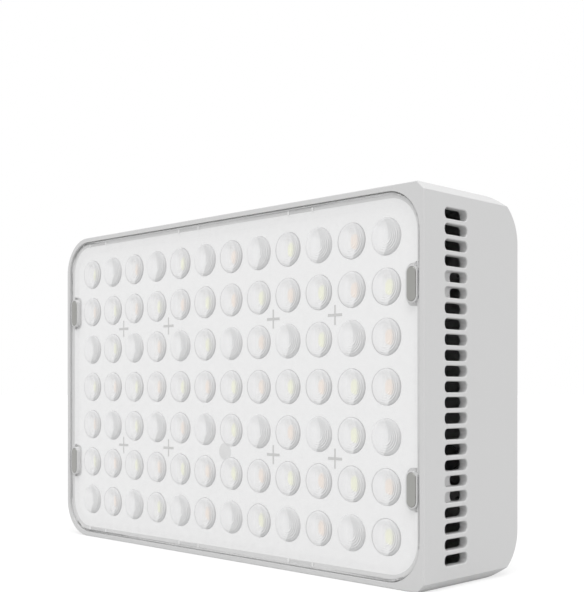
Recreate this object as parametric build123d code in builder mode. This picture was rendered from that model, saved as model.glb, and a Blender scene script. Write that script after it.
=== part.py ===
from build123d import *
import os

# A pocket LED panel light: a rigid body with a grid of lenses behind a clear front cover, a fan-cooled
# light engine, and a rear cover that carries the battery, the electronics and the controls.
#
# Frame: X along the length, the lit face looks along -Y, Z up. The origin is the centre of the base.
# Millimetres. A "depth" is a distance behind the front face; sketches lie in planes that face the front
# and are centred at mid-height, so a sketch is drawn at a piece's rear depth and extruded forwards.

# --- Lens grid, which sets the length and the height -------------------------------------------------
COLUMNS = 12
ROWS = 7
PITCH_X = 8.76
PITCH_Z = 9.5
END_MARGIN = 9.82  # from the last lens centre to the end face
EDGE_MARGIN = 9.35  # from the last lens centre to the top face
LENS_D = 7.15
LENS_CLEARANCE = 0.05
# One letter per lens, repeated along each row: C cool white, W warm white, - red, green and blue.
LED_PATTERN = ("C-W-", "WCWC", "-C-W", "CWCW", "W-C-", "CWCW", "-W-C")

# --- Body --------------------------------------------------------------------------------------------
WALL = 1.45
LEFT_CORNER_R = 8.7
RIGHT_CHAMFER = 1.65
REAR_EDGE_R = 9.0
FRONT_EDGE_R = 0.2

# --- Front rim, clear cover and the ledge that it rests on -------------------------------------------
RIM = 1.05
COVER_GAP = 0.25
COVER_THICK = 0.5
COVER_CORNER_R = 7.6
GASKET_THICK = 0.6
GASKET_WIDTH = 0.35
LEDGE_WIDTH = 1.45
LEDGE_THICK = 1.2
CLIP_PITCH = 35.55
CLIP_SHIFT = -9.57  # the middle clip's distance from the centre
CLIP_COUNT = 3
CLIP_WIDTH = 7.0
CLIP_THICK = 0.6
CLIP_BARB = 0.25
CLIP_BARB_HEIGHT = 0.45

# --- Light engine, from front to back ----------------------------------------------------------------
PLAY = 0.05  # gap between pieces of the engine that are only stacked
TRAY_THICK = 1.0
TRAY_GAP = 0.1
SKIRT_THICK = 0.8
SKIRT_DEPTH = 1.2
SKIRT_CORNER_R = 4.0
LENS_DOME = 0.5  # rise of each lens above the tray
LENS_DOME_TAPER = 60
LENS_POCKET_R = 2.6
WEB_THICK = 0.6
LED_GAP = 0.1
LED_HEIGHT = 0.65
LED_WHITE = (2.8, 3.5)
LED_COLOUR = (3.4, 3.4)
BOARD_THICK = 1.0
PAD_THICK = 0.3
SINK_BASE = 2.25
FIN_HEIGHT = 6.9
FIN_THICK = 0.8
FIN_END_GAP = 0.4
ENGINE_SCREW_R = 0.8
ENGINE_SCREW_HEAD_R = 1.5
SCREW_HEAD = 0.7
DRIVE_SHARE = 0.45  # a hexagon drive's radius over its head's
ENGINE_SCREW_LENGTH = 5.0
TRAY_BOSS_R = 1.5
TRAY_SCREW_R = 0.6
TRAY_SCREW_HEAD_R = 1.2
TRAY_SCREW_LENGTH = 4.0
PILOT_PLAY = 0.02  # between a screw's shank and the pilot hole that it cuts into
HOLE_PLAY = 0.12  # between a screw's shank and a hole that it passes through

# --- Side vents --------------------------------------------------------------------------------------
VENT_COUNT = 23
VENT_MARGIN = 5.25  # from the outermost slot's centre to the top face
VENT_HEIGHT = 2.1
VENT_CORNER_R = 0.95
VENT_CHAMFER = 0.15
VENT_OVERRUN = 0.25  # length of the slots behind the fins' back ends
VENT_PAD = 0.3  # extra thickness of the end walls round the slots
VENT_PAD_MARGIN = 0.6

# --- Accessory magnets -------------------------------------------------------------------------------
MAGNET_INSET = 3.04  # from the magnet's centre to the end face
MAGNET_WIDTH = 2.05
MAGNET_HEIGHT = 6.4
MAGNET_LENGTH = 6.0
MAGNET_PLAY = 0.04
MAGNET_BOSS_WALL = 0.5
MAGNET_SLEEVE = 0.25  # wall of the tube that brings each magnet through the cover
MAGNET_BOSS_HEIGHT = 7.2
MAGNET_BOSS_CORNER_R = 0.8
MAGNET_BOSS_SETBACK = 1.7
MAGNET_BOSS_LENGTH = 4.5
MAGNET_FOOT_HEIGHT = 6.0  # the boss's narrower back half, behind the slots
MAGNET_FOOT_LENGTH = 5.4
FOOT_SLOT_SETBACK = 4.0  # from the foot's front end to the slots through its back end
MAGNET_COLLAR_LENGTH = 3.0
NOTCH_HEIGHT = 8.0
NOTCH_GAP = 0.2
NOTCH_CORNER_R = 1.2

# --- Fan ---------------------------------------------------------------------------------------------
FAN_SIZE = 44.0
FAN_CORNER_R = 2.5
FAN_BASE = 0.7
FAN_LID = 0.6
FAN_CHAMBER = 5.5
FAN_WALL = 1.0
FAN_STANDOFF = 0.8
FAN_SCREW_INSET = 2.4
FAN_SCREW_R = 0.6
FAN_SCREW_HEAD_R = 1.1
FAN_PILLAR_R = 1.8
FAN_INLET_R = 12.0
FAN_BAY_GAP = 1.5
BLADE_LENGTH = 9.0
ROTOR_HUB_R = 9.0
ROTOR_CUP_WALL = 0.9
ROTOR_TOP = 0.7
ROTOR_BOSS_R = 2.2
ROTOR_GAP = 0.3
BLADE_COUNT = 19
BLADE_THICK = 0.6
BLADE_LEAN = 32
PIN_R = 1.0
PIN_CLEARANCE = 0.04
STATOR_R = 7.3
STATOR_BORE_R = 2.7

# --- Battery, main board and rear cover --------------------------------------------------------------
INTAKE_GAP = 1.8
CELL_THICK = 5.6
CELL_HEIGHT = 40.0
CELL_GAP = 0.5
HOLDER_FLOOR = 1.0
HOLDER_WALL = 0.8
HOLDER_RIM = 4.0
AIR_SHAFT_WIDTH = 12.0
MAIN_BOARD_THICK = 1.4
COMPONENT_SPACE = 5.5
REAR_THICK = 1.5
REAR_MARGIN_X = 6.0
REAR_CORNER_R = 4.0
REAR_GAP = 0.12
LIP_WIDTH = 1.5
LIP_THICK = 1.2
REAR_POST_INSET = 4.0
REAR_POST_R = 3.2
REAR_POST_LENGTH = 5.0
REAR_SCREW_R = 0.9
REAR_SCREW_HEAD_R = 1.8
REAR_SCREW_LENGTH = 5.4
CARRIER_MARGIN_Z = 0.8  # from the rear lip to the main board's edge
CARRIER_GAP_X = 0.4
CARRIER_SCREW_INSET = 2.4
CARRIER_SCREW_GAP = 0.2  # between a screw's head and the wall round a cell
CARRIER_BOSS_R = 1.9
CARRIER_SCREW_R = 0.7
CARRIER_SCREW_HEAD_R = 1.3
USB_BAY = 6.5  # the main board stops this much short at the inlet's end

# --- Controls on the rear cover ----------------------------------------------------------------------
CONTROLS_X = 29.0
WELL_R = 8.6
WELL_DEPTH = 2.8
WELL_FLOOR = 0.7
WELL_WALL = 1.2
WELL_Z = 8.0
KNOB_R = 8.2
KNOB_PRESS = 0.5
KNOB_GRIP_COUNT = 36
KNOB_GRIP_R = 0.35
KNOB_DISH = 0.35
FLUSH_GAP = 0.05  # how far the controls stay under the rear face
SHAFT_R = 2.9
SHAFT_CLEARANCE = 0.08
SHAFT_TOP_SKIN = 0.9
PLUNGER_THICK = 0.6
PLUNGER_SEAT = 0.2
ENCODER_SIZE = (12.4, 13.2)
BUTTON_COUNT = 3
BUTTON_PITCH = 11.0
BUTTON_Z = -15.0
BUTTON_LENGTH = 8.0
BUTTON_WIDTH = 4.0
BUTTON_GAP = 0.12
BUTTON_FLANGE = 0.8
BUTTON_FLANGE_THICK = 0.7
BUTTON_TRAVEL = 0.4
BUTTON_STEM_R = 1.0
CHIP_COUNT = 3
CHIP_SIZE = (6.0, 6.0)
CHIP_PITCH = 9.0
CHIP_Z = -9.0
CHIP_THICK = 1.2
TACT_SIZE = 5.2
TACT_HEIGHT = 2.4
TACT_DOME_R = 1.4
TACT_DOME = 0.3
SCREEN_X = -24.0
SCREEN_Z = 6.0
SCREEN_VIEW = (31.0, 16.0)
SCREEN_BORDER = 2.0
SCREEN_CORNER_R = 1.5
SCREEN_PANE = 0.9
SCREEN_GAP = 0.08
SLIDER_X = -24.0
SLIDER_Z = -15.0
SLIDER_LENGTH = 6.0
SLIDER_WIDTH = 3.2
SLIDER_TRAVEL = 3.0
SLIDER_GAP = 0.12
SLIDER_FLANGE = 1.2
SLIDER_FLANGE_THICK = 0.7
SLIDER_RIB_COUNT = 4
SLIDER_RIB_PITCH = 1.2
SLIDER_RIB_DEPTH = 0.3
SWITCH_SIZE = (9.4, 4.0)
SWITCH_HEIGHT = 2.4
INTAKE_COUNT = 11
INTAKE_PITCH = 3.0
INTAKE_SLOT = (10.0, 1.5)

# --- Interfaces: charging inlet and tripod thread ----------------------------------------------------
USB_SHELL = (8.94, 3.26)
USB_LENGTH = 7.35
USB_SHELL_THICK = 0.3
USB_TONGUE = (6.7, 0.7)
USB_TONGUE_LENGTH = 5.4
USB_GAP = 0.15
USB_SETBACK = 0.25
USB_Z = -12.0
USB_BOARD_LENGTH = 9.8
USB_BOARD_HEIGHT = 15.2
USB_BOARD_THICK = 1.0
USB_SHELF_LENGTH = 3.4
USB_SHELF_HEIGHT = 3.0
USB_SHELF_DEPTH = 3.5
THREAD_R = 2.55  # tapping radius of a 1/4 inch tripod thread
INSERT_R = 4.0
INSERT_FLANGE_R = 4.8
INSERT_FLANGE = 0.8
INSERT_LENGTH = 7.0
INSERT_PLAY = 0.02
INSERT_BOSS_WALL = 1.6

# --- Derived sizes -----------------------------------------------------------------------------------
LENGTH = (COLUMNS - 1) * PITCH_X + 2 * END_MARGIN
HEIGHT = (ROWS - 1) * PITCH_Z + 2 * EDGE_MARGIN
VENT_PITCH = (HEIGHT - 2 * VENT_MARGIN) / (VENT_COUNT - 1)

LEDGE_FRONT = COVER_THICK + GASKET_THICK
LEDGE_BACK = LEDGE_FRONT + LEDGE_THICK
TRAY_FRONT = LEDGE_FRONT + PLAY
TRAY_BACK = TRAY_FRONT + TRAY_THICK
WEB_BACK = TRAY_BACK + PLAY + WEB_THICK
BOARD_FRONT = WEB_BACK + PLAY
LED_FRONT = BOARD_FRONT - LED_HEIGHT
BOARD_BACK = BOARD_FRONT + BOARD_THICK
SINK_FRONT = BOARD_BACK + PAD_THICK
SINK_BACK = SINK_FRONT + SINK_BASE
FIN_BACK = SINK_BACK + FIN_HEIGHT
VENT_BACK = FIN_BACK + VENT_OVERRUN
FAN_FRONT = SINK_BACK + FAN_STANDOFF
CHAMBER_FRONT = FAN_FRONT + FAN_BASE
CHAMBER_BACK = CHAMBER_FRONT + FAN_CHAMBER
FAN_BACK = CHAMBER_BACK + FAN_LID
CELL_FRONT = FAN_BACK + INTAKE_GAP
CELL_BACK = CELL_FRONT + CELL_THICK
HOLDER_FRONT = CELL_BACK + 2 * PLAY
HOLDER_BACK = HOLDER_FRONT + HOLDER_FLOOR
MAIN_FRONT = HOLDER_BACK + 2 * PLAY
MAIN_BACK = MAIN_FRONT + MAIN_BOARD_THICK
REAR_INNER = MAIN_BACK + COMPONENT_SPACE
DEPTH = REAR_INNER + REAR_THICK

FRONT_Y = -DEPTH / 2
MID_Z = HEIGHT / 2
END_X = LENGTH / 2
INNER_X = END_X - WALL
INNER_Z = MID_Z - WALL

LEDGE_INSET = RIM + LEDGE_WIDTH
LEDGE_CORNER_R = COVER_CORNER_R + COVER_GAP - LEDGE_WIDTH
CLIP_INNER = LEDGE_INSET - CLIP_THICK / 4
CLIP_OUTER = CLIP_INNER - CLIP_THICK
CLIP_XS = [CLIP_SHIFT + (i - (CLIP_COUNT - 1) / 2) * CLIP_PITCH for i in range(CLIP_COUNT)]

MAGNET_X = END_X - MAGNET_INSET
MAGNET_Z = 2 * PITCH_Z
MAGNETS = [(side * MAGNET_X, level * MAGNET_Z) for side in (-1, 1) for level in (-1, 1)]
MAGNET_BOSS_X = MAGNET_X - MAGNET_WIDTH / 2 - MAGNET_PLAY - MAGNET_BOSS_WALL
MAGNET_BOSS_WIDTH = INNER_X + WALL / 2 - MAGNET_BOSS_X  # the bosses merge with the end walls
MAGNET_BOSS_MIDDLE = MAGNET_BOSS_X + MAGNET_BOSS_WIDTH / 2
MAGNET_BOSSES = [(side * MAGNET_BOSS_MIDDLE, level * MAGNET_Z) for side in (-1, 1) for level in (-1, 1)]
MAGNET_BOSS_BACK = MAGNET_BOSS_SETBACK + MAGNET_BOSS_LENGTH
NOTCH_X = MAGNET_BOSS_X - NOTCH_GAP

ENGINE_X = MAGNET_BOSS_X - FIN_END_GAP  # half length that clears the magnet bosses
ENGINE_Z = MID_Z - LEDGE_INSET - 2 * TRAY_GAP  # half height that passes the ledge
ENGINE_SCREW_Z = ENGINE_Z - ENGINE_SCREW_HEAD_R + 2 * TRAY_GAP
ENGINE_POST_R = ENGINE_SCREW_R + 1.1
ENGINE_SCREWS = [(x + CLIP_PITCH / 2, side * ENGINE_SCREW_Z) for x in CLIP_XS for side in (-1, 1)]
SKIRT_Z = ENGINE_Z - 4 * TRAY_GAP
BOARD_LENGTH = 2 * (ENGINE_X - SKIRT_THICK - TRAY_GAP)
BOARD_HEIGHT = 2 * (ENGINE_SCREW_Z - ENGINE_SCREW_HEAD_R - 2 * TRAY_GAP)
TRAY_BOSSES = [(i * PITCH_X, j * PITCH_Z) for i in (-4, -2, 2, 4) for j in (-1.5, 1.5)]

# The carrier screws stand above and below the cells, and the rear opening lets their boards pass
CARRIER_SCREW_Z = CELL_HEIGHT / 2 + CELL_GAP + HOLDER_WALL + CARRIER_SCREW_GAP + CARRIER_SCREW_HEAD_R
CARRIER_HEIGHT = 2 * (CARRIER_SCREW_Z + CARRIER_SCREW_INSET)
REAR_OPENING = (LENGTH - 2 * REAR_MARGIN_X, CARRIER_HEIGHT + 2 * (LIP_WIDTH + CARRIER_MARGIN_Z))
REAR_SCREWS = [
    (i * (REAR_OPENING[0] / 2 - REAR_POST_INSET), j * (REAR_OPENING[1] / 2 - REAR_POST_INSET))
    for i in (-1, 1)
    for j in (-1, 1)
]
CARRIER_RIGHT = REAR_OPENING[0] / 2 - REAR_POST_INSET - REAR_POST_R - CARRIER_GAP_X
CARRIER_LEFT = -CARRIER_RIGHT
MAIN_LEFT = CARRIER_LEFT + USB_BAY - REAR_POST_INSET
CARRIER_SCREWS = [
    (x, j * CARRIER_SCREW_Z)
    for x in (MAIN_LEFT + CARRIER_SCREW_INSET, CARRIER_RIGHT - CARRIER_SCREW_INSET)
    for j in (-1, 1)
]
CELL_WIDTH = CARRIER_RIGHT - HOLDER_WALL - CELL_GAP - AIR_SHAFT_WIDTH / 2 - HOLDER_WALL - CELL_GAP
CELL_X = AIR_SHAFT_WIDTH / 2 + HOLDER_WALL + CELL_GAP + CELL_WIDTH / 2

FAN_SCREW_XZ = FAN_SIZE / 2 - FAN_SCREW_INSET
FAN_SCREWS = [(i * FAN_SCREW_XZ, j * FAN_SCREW_XZ) for i in (-1, 1) for j in (-1, 1)]

WELL_BOTTOM = DEPTH - WELL_DEPTH
KNOB_FRONT = WELL_BOTTOM + KNOB_PRESS + 4 * PLAY
KNOB_BACK = DEPTH - FLUSH_GAP
ENCODER_BACK = WELL_BOTTOM - WELL_FLOOR - 2 * PLAY
PLUNGER_FRONT = MAIN_BACK + KNOB_PRESS + PLUNGER_SEAT
SHAFT_FRONT = PLUNGER_FRONT + PLUNGER_THICK + PLAY
SHAFT_BACK = KNOB_BACK - SHAFT_TOP_SKIN
BUTTONS = [
    (CONTROLS_X + (i - (BUTTON_COUNT - 1) / 2) * BUTTON_PITCH, BUTTON_Z) for i in range(BUTTON_COUNT)
]
BUTTON_FLANGE_BACK = REAR_INNER - PLAY
BUTTON_STEM_FRONT = MAIN_BACK + TACT_HEIGHT + TACT_DOME + BUTTON_TRAVEL + PLAY
USB_X = -END_X + USB_SETBACK
USB_BOARD_BACK = MAIN_FRONT + USB_BOARD_THICK
USB_BOARD_X = -INNER_X + USB_GAP
USB_DEPTH = USB_BOARD_BACK + USB_SHELL[1] / 2
INSERT_BOSS_R = INSERT_FLANGE_R + INSERT_BOSS_WALL


def at_depth(distance):
    """Plane behind the front face, facing the front, centred at mid-height."""
    return Plane(origin=(0, FRONT_Y + distance, MID_Z), x_dir=(1, 0, 0), z_dir=(0, -1, 0))


def end_plane(x):
    """Plane across the length, with Y to the right and Z up, centred at mid-height."""
    return Plane(origin=(x, 0, MID_Z), x_dir=(0, 1, 0), z_dir=(1, 0, 0))


def lens_places(kinds):
    """Centres of the lenses whose light source is of one of the kinds."""
    return [
        ((column - (COLUMNS - 1) / 2) * PITCH_X, ((ROWS - 1) / 2 - row) * PITCH_Z)
        for row in range(ROWS)
        for column in range(COLUMNS)
        if LED_PATTERN[row % len(LED_PATTERN)][column % 4] in kinds
    ]


def body_outline(inset):
    """The body's front view, inset by a wall: rounded at -X, chamfered at +X."""
    Rectangle(LENGTH - 2 * inset, HEIGHT - 2 * inset)
    fillet(vertices().group_by(Axis.X)[0], LEFT_CORNER_R - inset)
    chamfer(vertices().group_by(Axis.X)[-1], RIGHT_CHAMFER - inset * (2 - 2**0.5))


def body_block(inset, front, back):
    """Solid between two depths with the body's front and side views, inset by a wall."""
    with BuildPart() as block:
        with BuildSketch(end_plane(-END_X + inset)):
            with Locations((FRONT_Y + (front + back) / 2, 0)):
                Rectangle(back - front, HEIGHT - 2 * inset)
            fillet(vertices().group_by(Axis.X)[-1], REAR_EDGE_R - inset)
        extrude(amount=LENGTH - 2 * inset)
        with BuildSketch(at_depth(back)):
            body_outline(inset)
        extrude(amount=back - front, mode=Mode.INTERSECT)
    return block.part


def cover_outline(inset, corner):
    """Rounded rectangle that follows the cover, inset from the body's outer faces."""
    RectangleRounded(LENGTH - 2 * inset, HEIGHT - 2 * inset, corner)


def clip_marks(width, outer, inner, mode):
    """One rectangle for each clip of the cover, between two insets from the outer faces."""
    thick = inner - outer
    middle = (inner + outer) / 2
    with Locations(*[(x, side * (MID_Z - middle)) for x in CLIP_XS for side in (-1, 1)]):
        Rectangle(width, thick, mode=mode)
    with Locations(*[(side * (END_X - middle), 0) for side in (-1, 1)]):
        Rectangle(thick, width, mode=mode)


def vent_marks(front, grow):
    """One slot for each vent, from a depth to the slots' back end, in a sketch across the length."""
    with Locations((FRONT_Y + (front + VENT_BACK) / 2, 0)):
        with GridLocations(1, VENT_PITCH, 1, VENT_COUNT):
            RectangleRounded(VENT_BACK - front + 2 * grow, VENT_HEIGHT + 2 * grow, VENT_CORNER_R + grow)


def magnet_marks(play, mode):
    """One upright pill for each accessory magnet."""
    with Locations(*MAGNETS):
        SlotOverall(MAGNET_HEIGHT + 2 * play, MAGNET_WIDTH + 2 * play, rotation=90, mode=mode)


def drill(places, radius, front, back):
    """Round holes between two depths of the part being built."""
    with BuildSketch(at_depth(back)) as holes:
        with Locations(*places):
            Circle(radius)
    extrude(holes.sketch, amount=back - front, mode=Mode.SUBTRACT)


def screws(places, shank_r, head_r, seat, length):
    """Pan-head screws that bear on a seat at one depth: a positive length runs to the back."""
    away = 1 if length > 0 else -1
    with BuildPart() as group:
        with BuildSketch(at_depth(seat)):
            with Locations(*places):
                Circle(head_r)
        extrude(amount=away * SCREW_HEAD)
        with BuildSketch(at_depth(seat)):
            with Locations(*places):
                Circle(shank_r)
        extrude(amount=-length)
        with BuildSketch(at_depth(seat - away * SCREW_HEAD)):
            with Locations(*places):
                RegularPolygon(head_r * DRIVE_SHARE, 6)
        extrude(amount=-away * SCREW_HEAD / 2, mode=Mode.SUBTRACT)
    return group.part


def save(piece, name):
    """Label a finished piece and write it as a STEP file of the same name."""
    piece.label = name
    export_step(piece, f"parts/{name}.step")


os.makedirs("parts", exist_ok=True)

# --- Housing -----------------------------------------------------------------------------------------
outer_block = body_block(0, 0, DEPTH)
cavity_block = body_block(WALL, LEDGE_BACK, REAR_INNER)

with BuildPart() as housing:
    add(outer_block)
    fillet(faces().sort_by(Axis.Y)[0].edges(), FRONT_EDGE_R)
    add(cavity_block, mode=Mode.SUBTRACT)

    # Recess for the cover, and the opening inside the ledge
    with BuildSketch(at_depth(LEDGE_FRONT)):
        cover_outline(RIM, COVER_CORNER_R + COVER_GAP)
    extrude(amount=LEDGE_FRONT, mode=Mode.SUBTRACT)
    with BuildSketch(at_depth(LEDGE_BACK)):
        cover_outline(LEDGE_INSET, LEDGE_CORNER_R)
        clip_marks(CLIP_WIDTH + 4 * TRAY_GAP, CLIP_OUTER - TRAY_GAP, LEDGE_INSET + WALL, Mode.ADD)
    extrude(amount=LEDGE_THICK, mode=Mode.SUBTRACT)

    # Bosses for the magnets, with collars that close the tray's notches from behind
    with BuildSketch(at_depth(MAGNET_BOSS_BACK)):
        with Locations(*MAGNET_BOSSES):
            RectangleRounded(MAGNET_BOSS_WIDTH, MAGNET_BOSS_HEIGHT, MAGNET_BOSS_CORNER_R)
    extrude(amount=MAGNET_BOSS_LENGTH)
    with BuildSketch(at_depth(TRAY_BACK + PLAY + MAGNET_COLLAR_LENGTH)):
        with Locations(*MAGNET_BOSSES):
            Rectangle(MAGNET_BOSS_WIDTH, NOTCH_HEIGHT + 2 * NOTCH_GAP)
    extrude(amount=MAGNET_COLLAR_LENGTH)
    with BuildSketch(at_depth(MAGNET_BOSS_BACK + MAGNET_FOOT_LENGTH)):
        with Locations(*MAGNET_BOSSES):
            Rectangle(MAGNET_BOSS_WIDTH, MAGNET_FOOT_HEIGHT)
    extrude(amount=MAGNET_FOOT_LENGTH)
    with BuildSketch(at_depth(MAGNET_BOSS_BACK)):
        magnet_marks(MAGNET_PLAY + MAGNET_SLEEVE, Mode.ADD)
    extrude(amount=MAGNET_BOSS_BACK - 2 * PLAY)
    with BuildSketch(at_depth(MAGNET_LENGTH + MAGNET_PLAY)):
        magnet_marks(MAGNET_PLAY, Mode.ADD)
    extrude(amount=MAGNET_LENGTH + MAGNET_PLAY, mode=Mode.SUBTRACT)

    # Slots through the back ends of the bosses
    with BuildSketch(end_plane(-INNER_X)):
        vent_marks(MAGNET_BOSS_BACK + FOOT_SLOT_SETBACK, 0)
    extrude(amount=2 * INNER_X, mode=Mode.SUBTRACT)

    # Vent slots through both end walls, opposite the fins, in a thicker part of the walls
    pad_middle = FRONT_Y + (SINK_BACK + VENT_BACK) / 2
    pad_size = (
        VENT_BACK - SINK_BACK + 2 * VENT_PAD_MARGIN,
        (VENT_COUNT - 1) * VENT_PITCH + VENT_HEIGHT + 2 * VENT_PAD_MARGIN,
    )
    for side in (-1, 1):
        with BuildSketch(Plane(origin=(side * INNER_X, 0, MID_Z), x_dir=(0, 1, 0), z_dir=(-side, 0, 0))):
            with Locations((pad_middle, 0)):
                Rectangle(*pad_size)
        extrude(amount=VENT_PAD)
        with BuildSketch(Plane(origin=(side * END_X, 0, MID_Z), x_dir=(0, 1, 0), z_dir=(-side, 0, 0))):
            vent_marks(SINK_BACK, 0)
        extrude(amount=WALL + VENT_PAD, mode=Mode.SUBTRACT)
        with BuildSketch(Plane(origin=(side * END_X, 0, MID_Z), x_dir=(0, 1, 0), z_dir=(-side, 0, 0))):
            vent_marks(SINK_BACK, VENT_CHAMFER)
        extrude(amount=VENT_CHAMFER, taper=45, mode=Mode.SUBTRACT)

    # Posts on the top and bottom walls that the light engine is screwed to
    with BuildSketch(at_depth(FIN_BACK + PLAY)):
        with Locations(*ENGINE_SCREWS):
            Circle(ENGINE_POST_R)
        post_reach = INNER_Z + WALL / 2 - ENGINE_SCREW_Z
        for x, z in ENGINE_SCREWS:
            with Locations((x, z + (post_reach / 2 if z > 0 else -post_reach / 2))):
                Rectangle(2 * ENGINE_POST_R, post_reach)
    extrude(amount=FIN_BACK - SINK_BACK)
    drill(
        ENGINE_SCREWS,
        ENGINE_SCREW_R + PILOT_PLAY,
        SINK_BACK,
        SINK_FRONT + ENGINE_SCREW_LENGTH + 2 * PLAY,
    )

    # Rear opening, the lip that its cover rests on, and the screw posts in its corners
    with BuildSketch(at_depth(DEPTH)):
        RectangleRounded(*REAR_OPENING, REAR_CORNER_R)
    extrude(amount=REAR_THICK, mode=Mode.SUBTRACT)
    with BuildSketch(at_depth(REAR_INNER)):
        RectangleRounded(
            REAR_OPENING[0] + 2 * LIP_WIDTH, REAR_OPENING[1] + 2 * LIP_WIDTH, REAR_CORNER_R + LIP_WIDTH
        )
        RectangleRounded(
            REAR_OPENING[0] - 2 * LIP_WIDTH,
            REAR_OPENING[1] - 2 * LIP_WIDTH,
            REAR_CORNER_R - LIP_WIDTH,
            mode=Mode.SUBTRACT,
        )
    extrude(amount=LIP_THICK)
    with BuildSketch(at_depth(REAR_INNER)):
        with Locations(*REAR_SCREWS):
            Circle(REAR_POST_R)
    extrude(amount=REAR_POST_LENGTH)
    drill(REAR_SCREWS, REAR_SCREW_R + PILOT_PLAY, REAR_INNER - REAR_POST_LENGTH, REAR_INNER)

    # Inlet hole in the -X wall, and the two shelves for its board
    with BuildSketch(end_plane(-END_X)):
        with Locations((FRONT_Y + USB_DEPTH, USB_Z)):
            SlotOverall(USB_SHELL[0] + 2 * USB_GAP, USB_SHELL[1] + 2 * USB_GAP, rotation=90)
    extrude(amount=WALL, mode=Mode.SUBTRACT)
    shelf_x = -INNER_X + USB_SHELF_LENGTH / 2
    shelf_z = USB_BOARD_HEIGHT / 2 - USB_SHELF_HEIGHT / 2
    usb_screws = [(shelf_x, USB_Z - shelf_z), (shelf_x, USB_Z + shelf_z)]
    with BuildSketch(at_depth(MAIN_FRONT - PLAY)):
        with Locations(*usb_screws):
            Rectangle(USB_SHELF_LENGTH, USB_SHELF_HEIGHT)
    extrude(amount=USB_SHELF_DEPTH)
    drill(usb_screws, TRAY_SCREW_R + PILOT_PLAY, MAIN_FRONT - USB_SHELF_DEPTH + PLAY, MAIN_FRONT)

    # Boss in the floor for the tripod thread
    with BuildSketch(Plane.XY.offset(WALL / 2)):
        Circle(INSERT_BOSS_R)
    extrude(amount=INSERT_LENGTH + INSERT_BOSS_WALL - WALL / 2)
    with BuildSketch(Plane.XY):
        Circle(INSERT_R + INSERT_PLAY)
    extrude(amount=INSERT_LENGTH + PLAY, mode=Mode.SUBTRACT)
    with BuildSketch(Plane.XY):
        Circle(INSERT_FLANGE_R + INSERT_PLAY)
    extrude(amount=INSERT_FLANGE + PLAY, mode=Mode.SUBTRACT)
save(housing.part, "housing")

# --- Front cover and its gasket ----------------------------------------------------------------------
with BuildPart() as front_cover:
    with BuildSketch(at_depth(COVER_THICK)):
        cover_outline(RIM + COVER_GAP, COVER_CORNER_R)
        magnet_marks(MAGNET_SLEEVE + 3 * MAGNET_PLAY, Mode.SUBTRACT)
    extrude(amount=COVER_THICK)
    with BuildSketch(at_depth(LEDGE_BACK + PLAY + CLIP_BARB_HEIGHT)):
        clip_marks(CLIP_WIDTH, CLIP_OUTER, CLIP_INNER, Mode.ADD)
    extrude(amount=LEDGE_BACK + PLAY + CLIP_BARB_HEIGHT - COVER_THICK)
    with BuildSketch(at_depth(LEDGE_BACK + PLAY + CLIP_BARB_HEIGHT)):
        clip_marks(CLIP_WIDTH, CLIP_OUTER - CLIP_BARB, CLIP_OUTER, Mode.ADD)
    extrude(amount=CLIP_BARB_HEIGHT)
save(front_cover.part, "front_cover")

with BuildPart() as cover_gasket:
    with BuildSketch(at_depth(LEDGE_FRONT)):
        cover_outline(RIM + COVER_GAP, COVER_CORNER_R)
        gasket_inner = RIM + COVER_GAP + GASKET_WIDTH
        RectangleRounded(
            LENGTH - 2 * gasket_inner,
            HEIGHT - 2 * gasket_inner,
            COVER_CORNER_R - GASKET_WIDTH,
            mode=Mode.SUBTRACT,
        )
    extrude(amount=GASKET_THICK)
save(cover_gasket.part, "cover_gasket")

with BuildPart() as accessory_magnets:
    with BuildSketch(at_depth(MAGNET_LENGTH)):
        magnet_marks(0, Mode.ADD)
    extrude(amount=MAGNET_LENGTH)
save(accessory_magnets.part, "accessory_magnets")

# --- Lens tray and lenses ----------------------------------------------------------------------------
with BuildPart() as lens_tray:
    with BuildSketch(at_depth(TRAY_BACK)):
        cover_outline(LEDGE_INSET + TRAY_GAP, LEDGE_CORNER_R - TRAY_GAP)
        with Locations(*lens_places("CW-")):
            Circle(LENS_D / 2 + LENS_CLEARANCE, mode=Mode.SUBTRACT)
        notch_length = END_X - NOTCH_X
        notch_x = NOTCH_X + notch_length / 2
        with Locations(*[(side * notch_x, level * MAGNET_Z) for side in (-1, 1) for level in (-1, 1)]):
            RectangleRounded(notch_length, NOTCH_HEIGHT, NOTCH_CORNER_R, mode=Mode.SUBTRACT)
        clip_marks(CLIP_WIDTH + 4 * TRAY_GAP, CLIP_OUTER - TRAY_GAP, CLIP_INNER + TRAY_GAP, Mode.SUBTRACT)
    extrude(amount=TRAY_THICK)
    with BuildSketch(at_depth(TRAY_BACK + SKIRT_DEPTH)):
        RectangleRounded(2 * ENGINE_X, 2 * SKIRT_Z, SKIRT_CORNER_R)
        offset(amount=-SKIRT_THICK, mode=Mode.SUBTRACT)
    extrude(amount=SKIRT_DEPTH)
    with BuildSketch(at_depth(SINK_FRONT - PLAY)):
        with Locations(*TRAY_BOSSES):
            Circle(TRAY_BOSS_R)
            Circle(TRAY_SCREW_R + PILOT_PLAY, mode=Mode.SUBTRACT)
    extrude(amount=SINK_FRONT - PLAY - TRAY_BACK)
save(lens_tray.part, "lens_tray")

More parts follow.
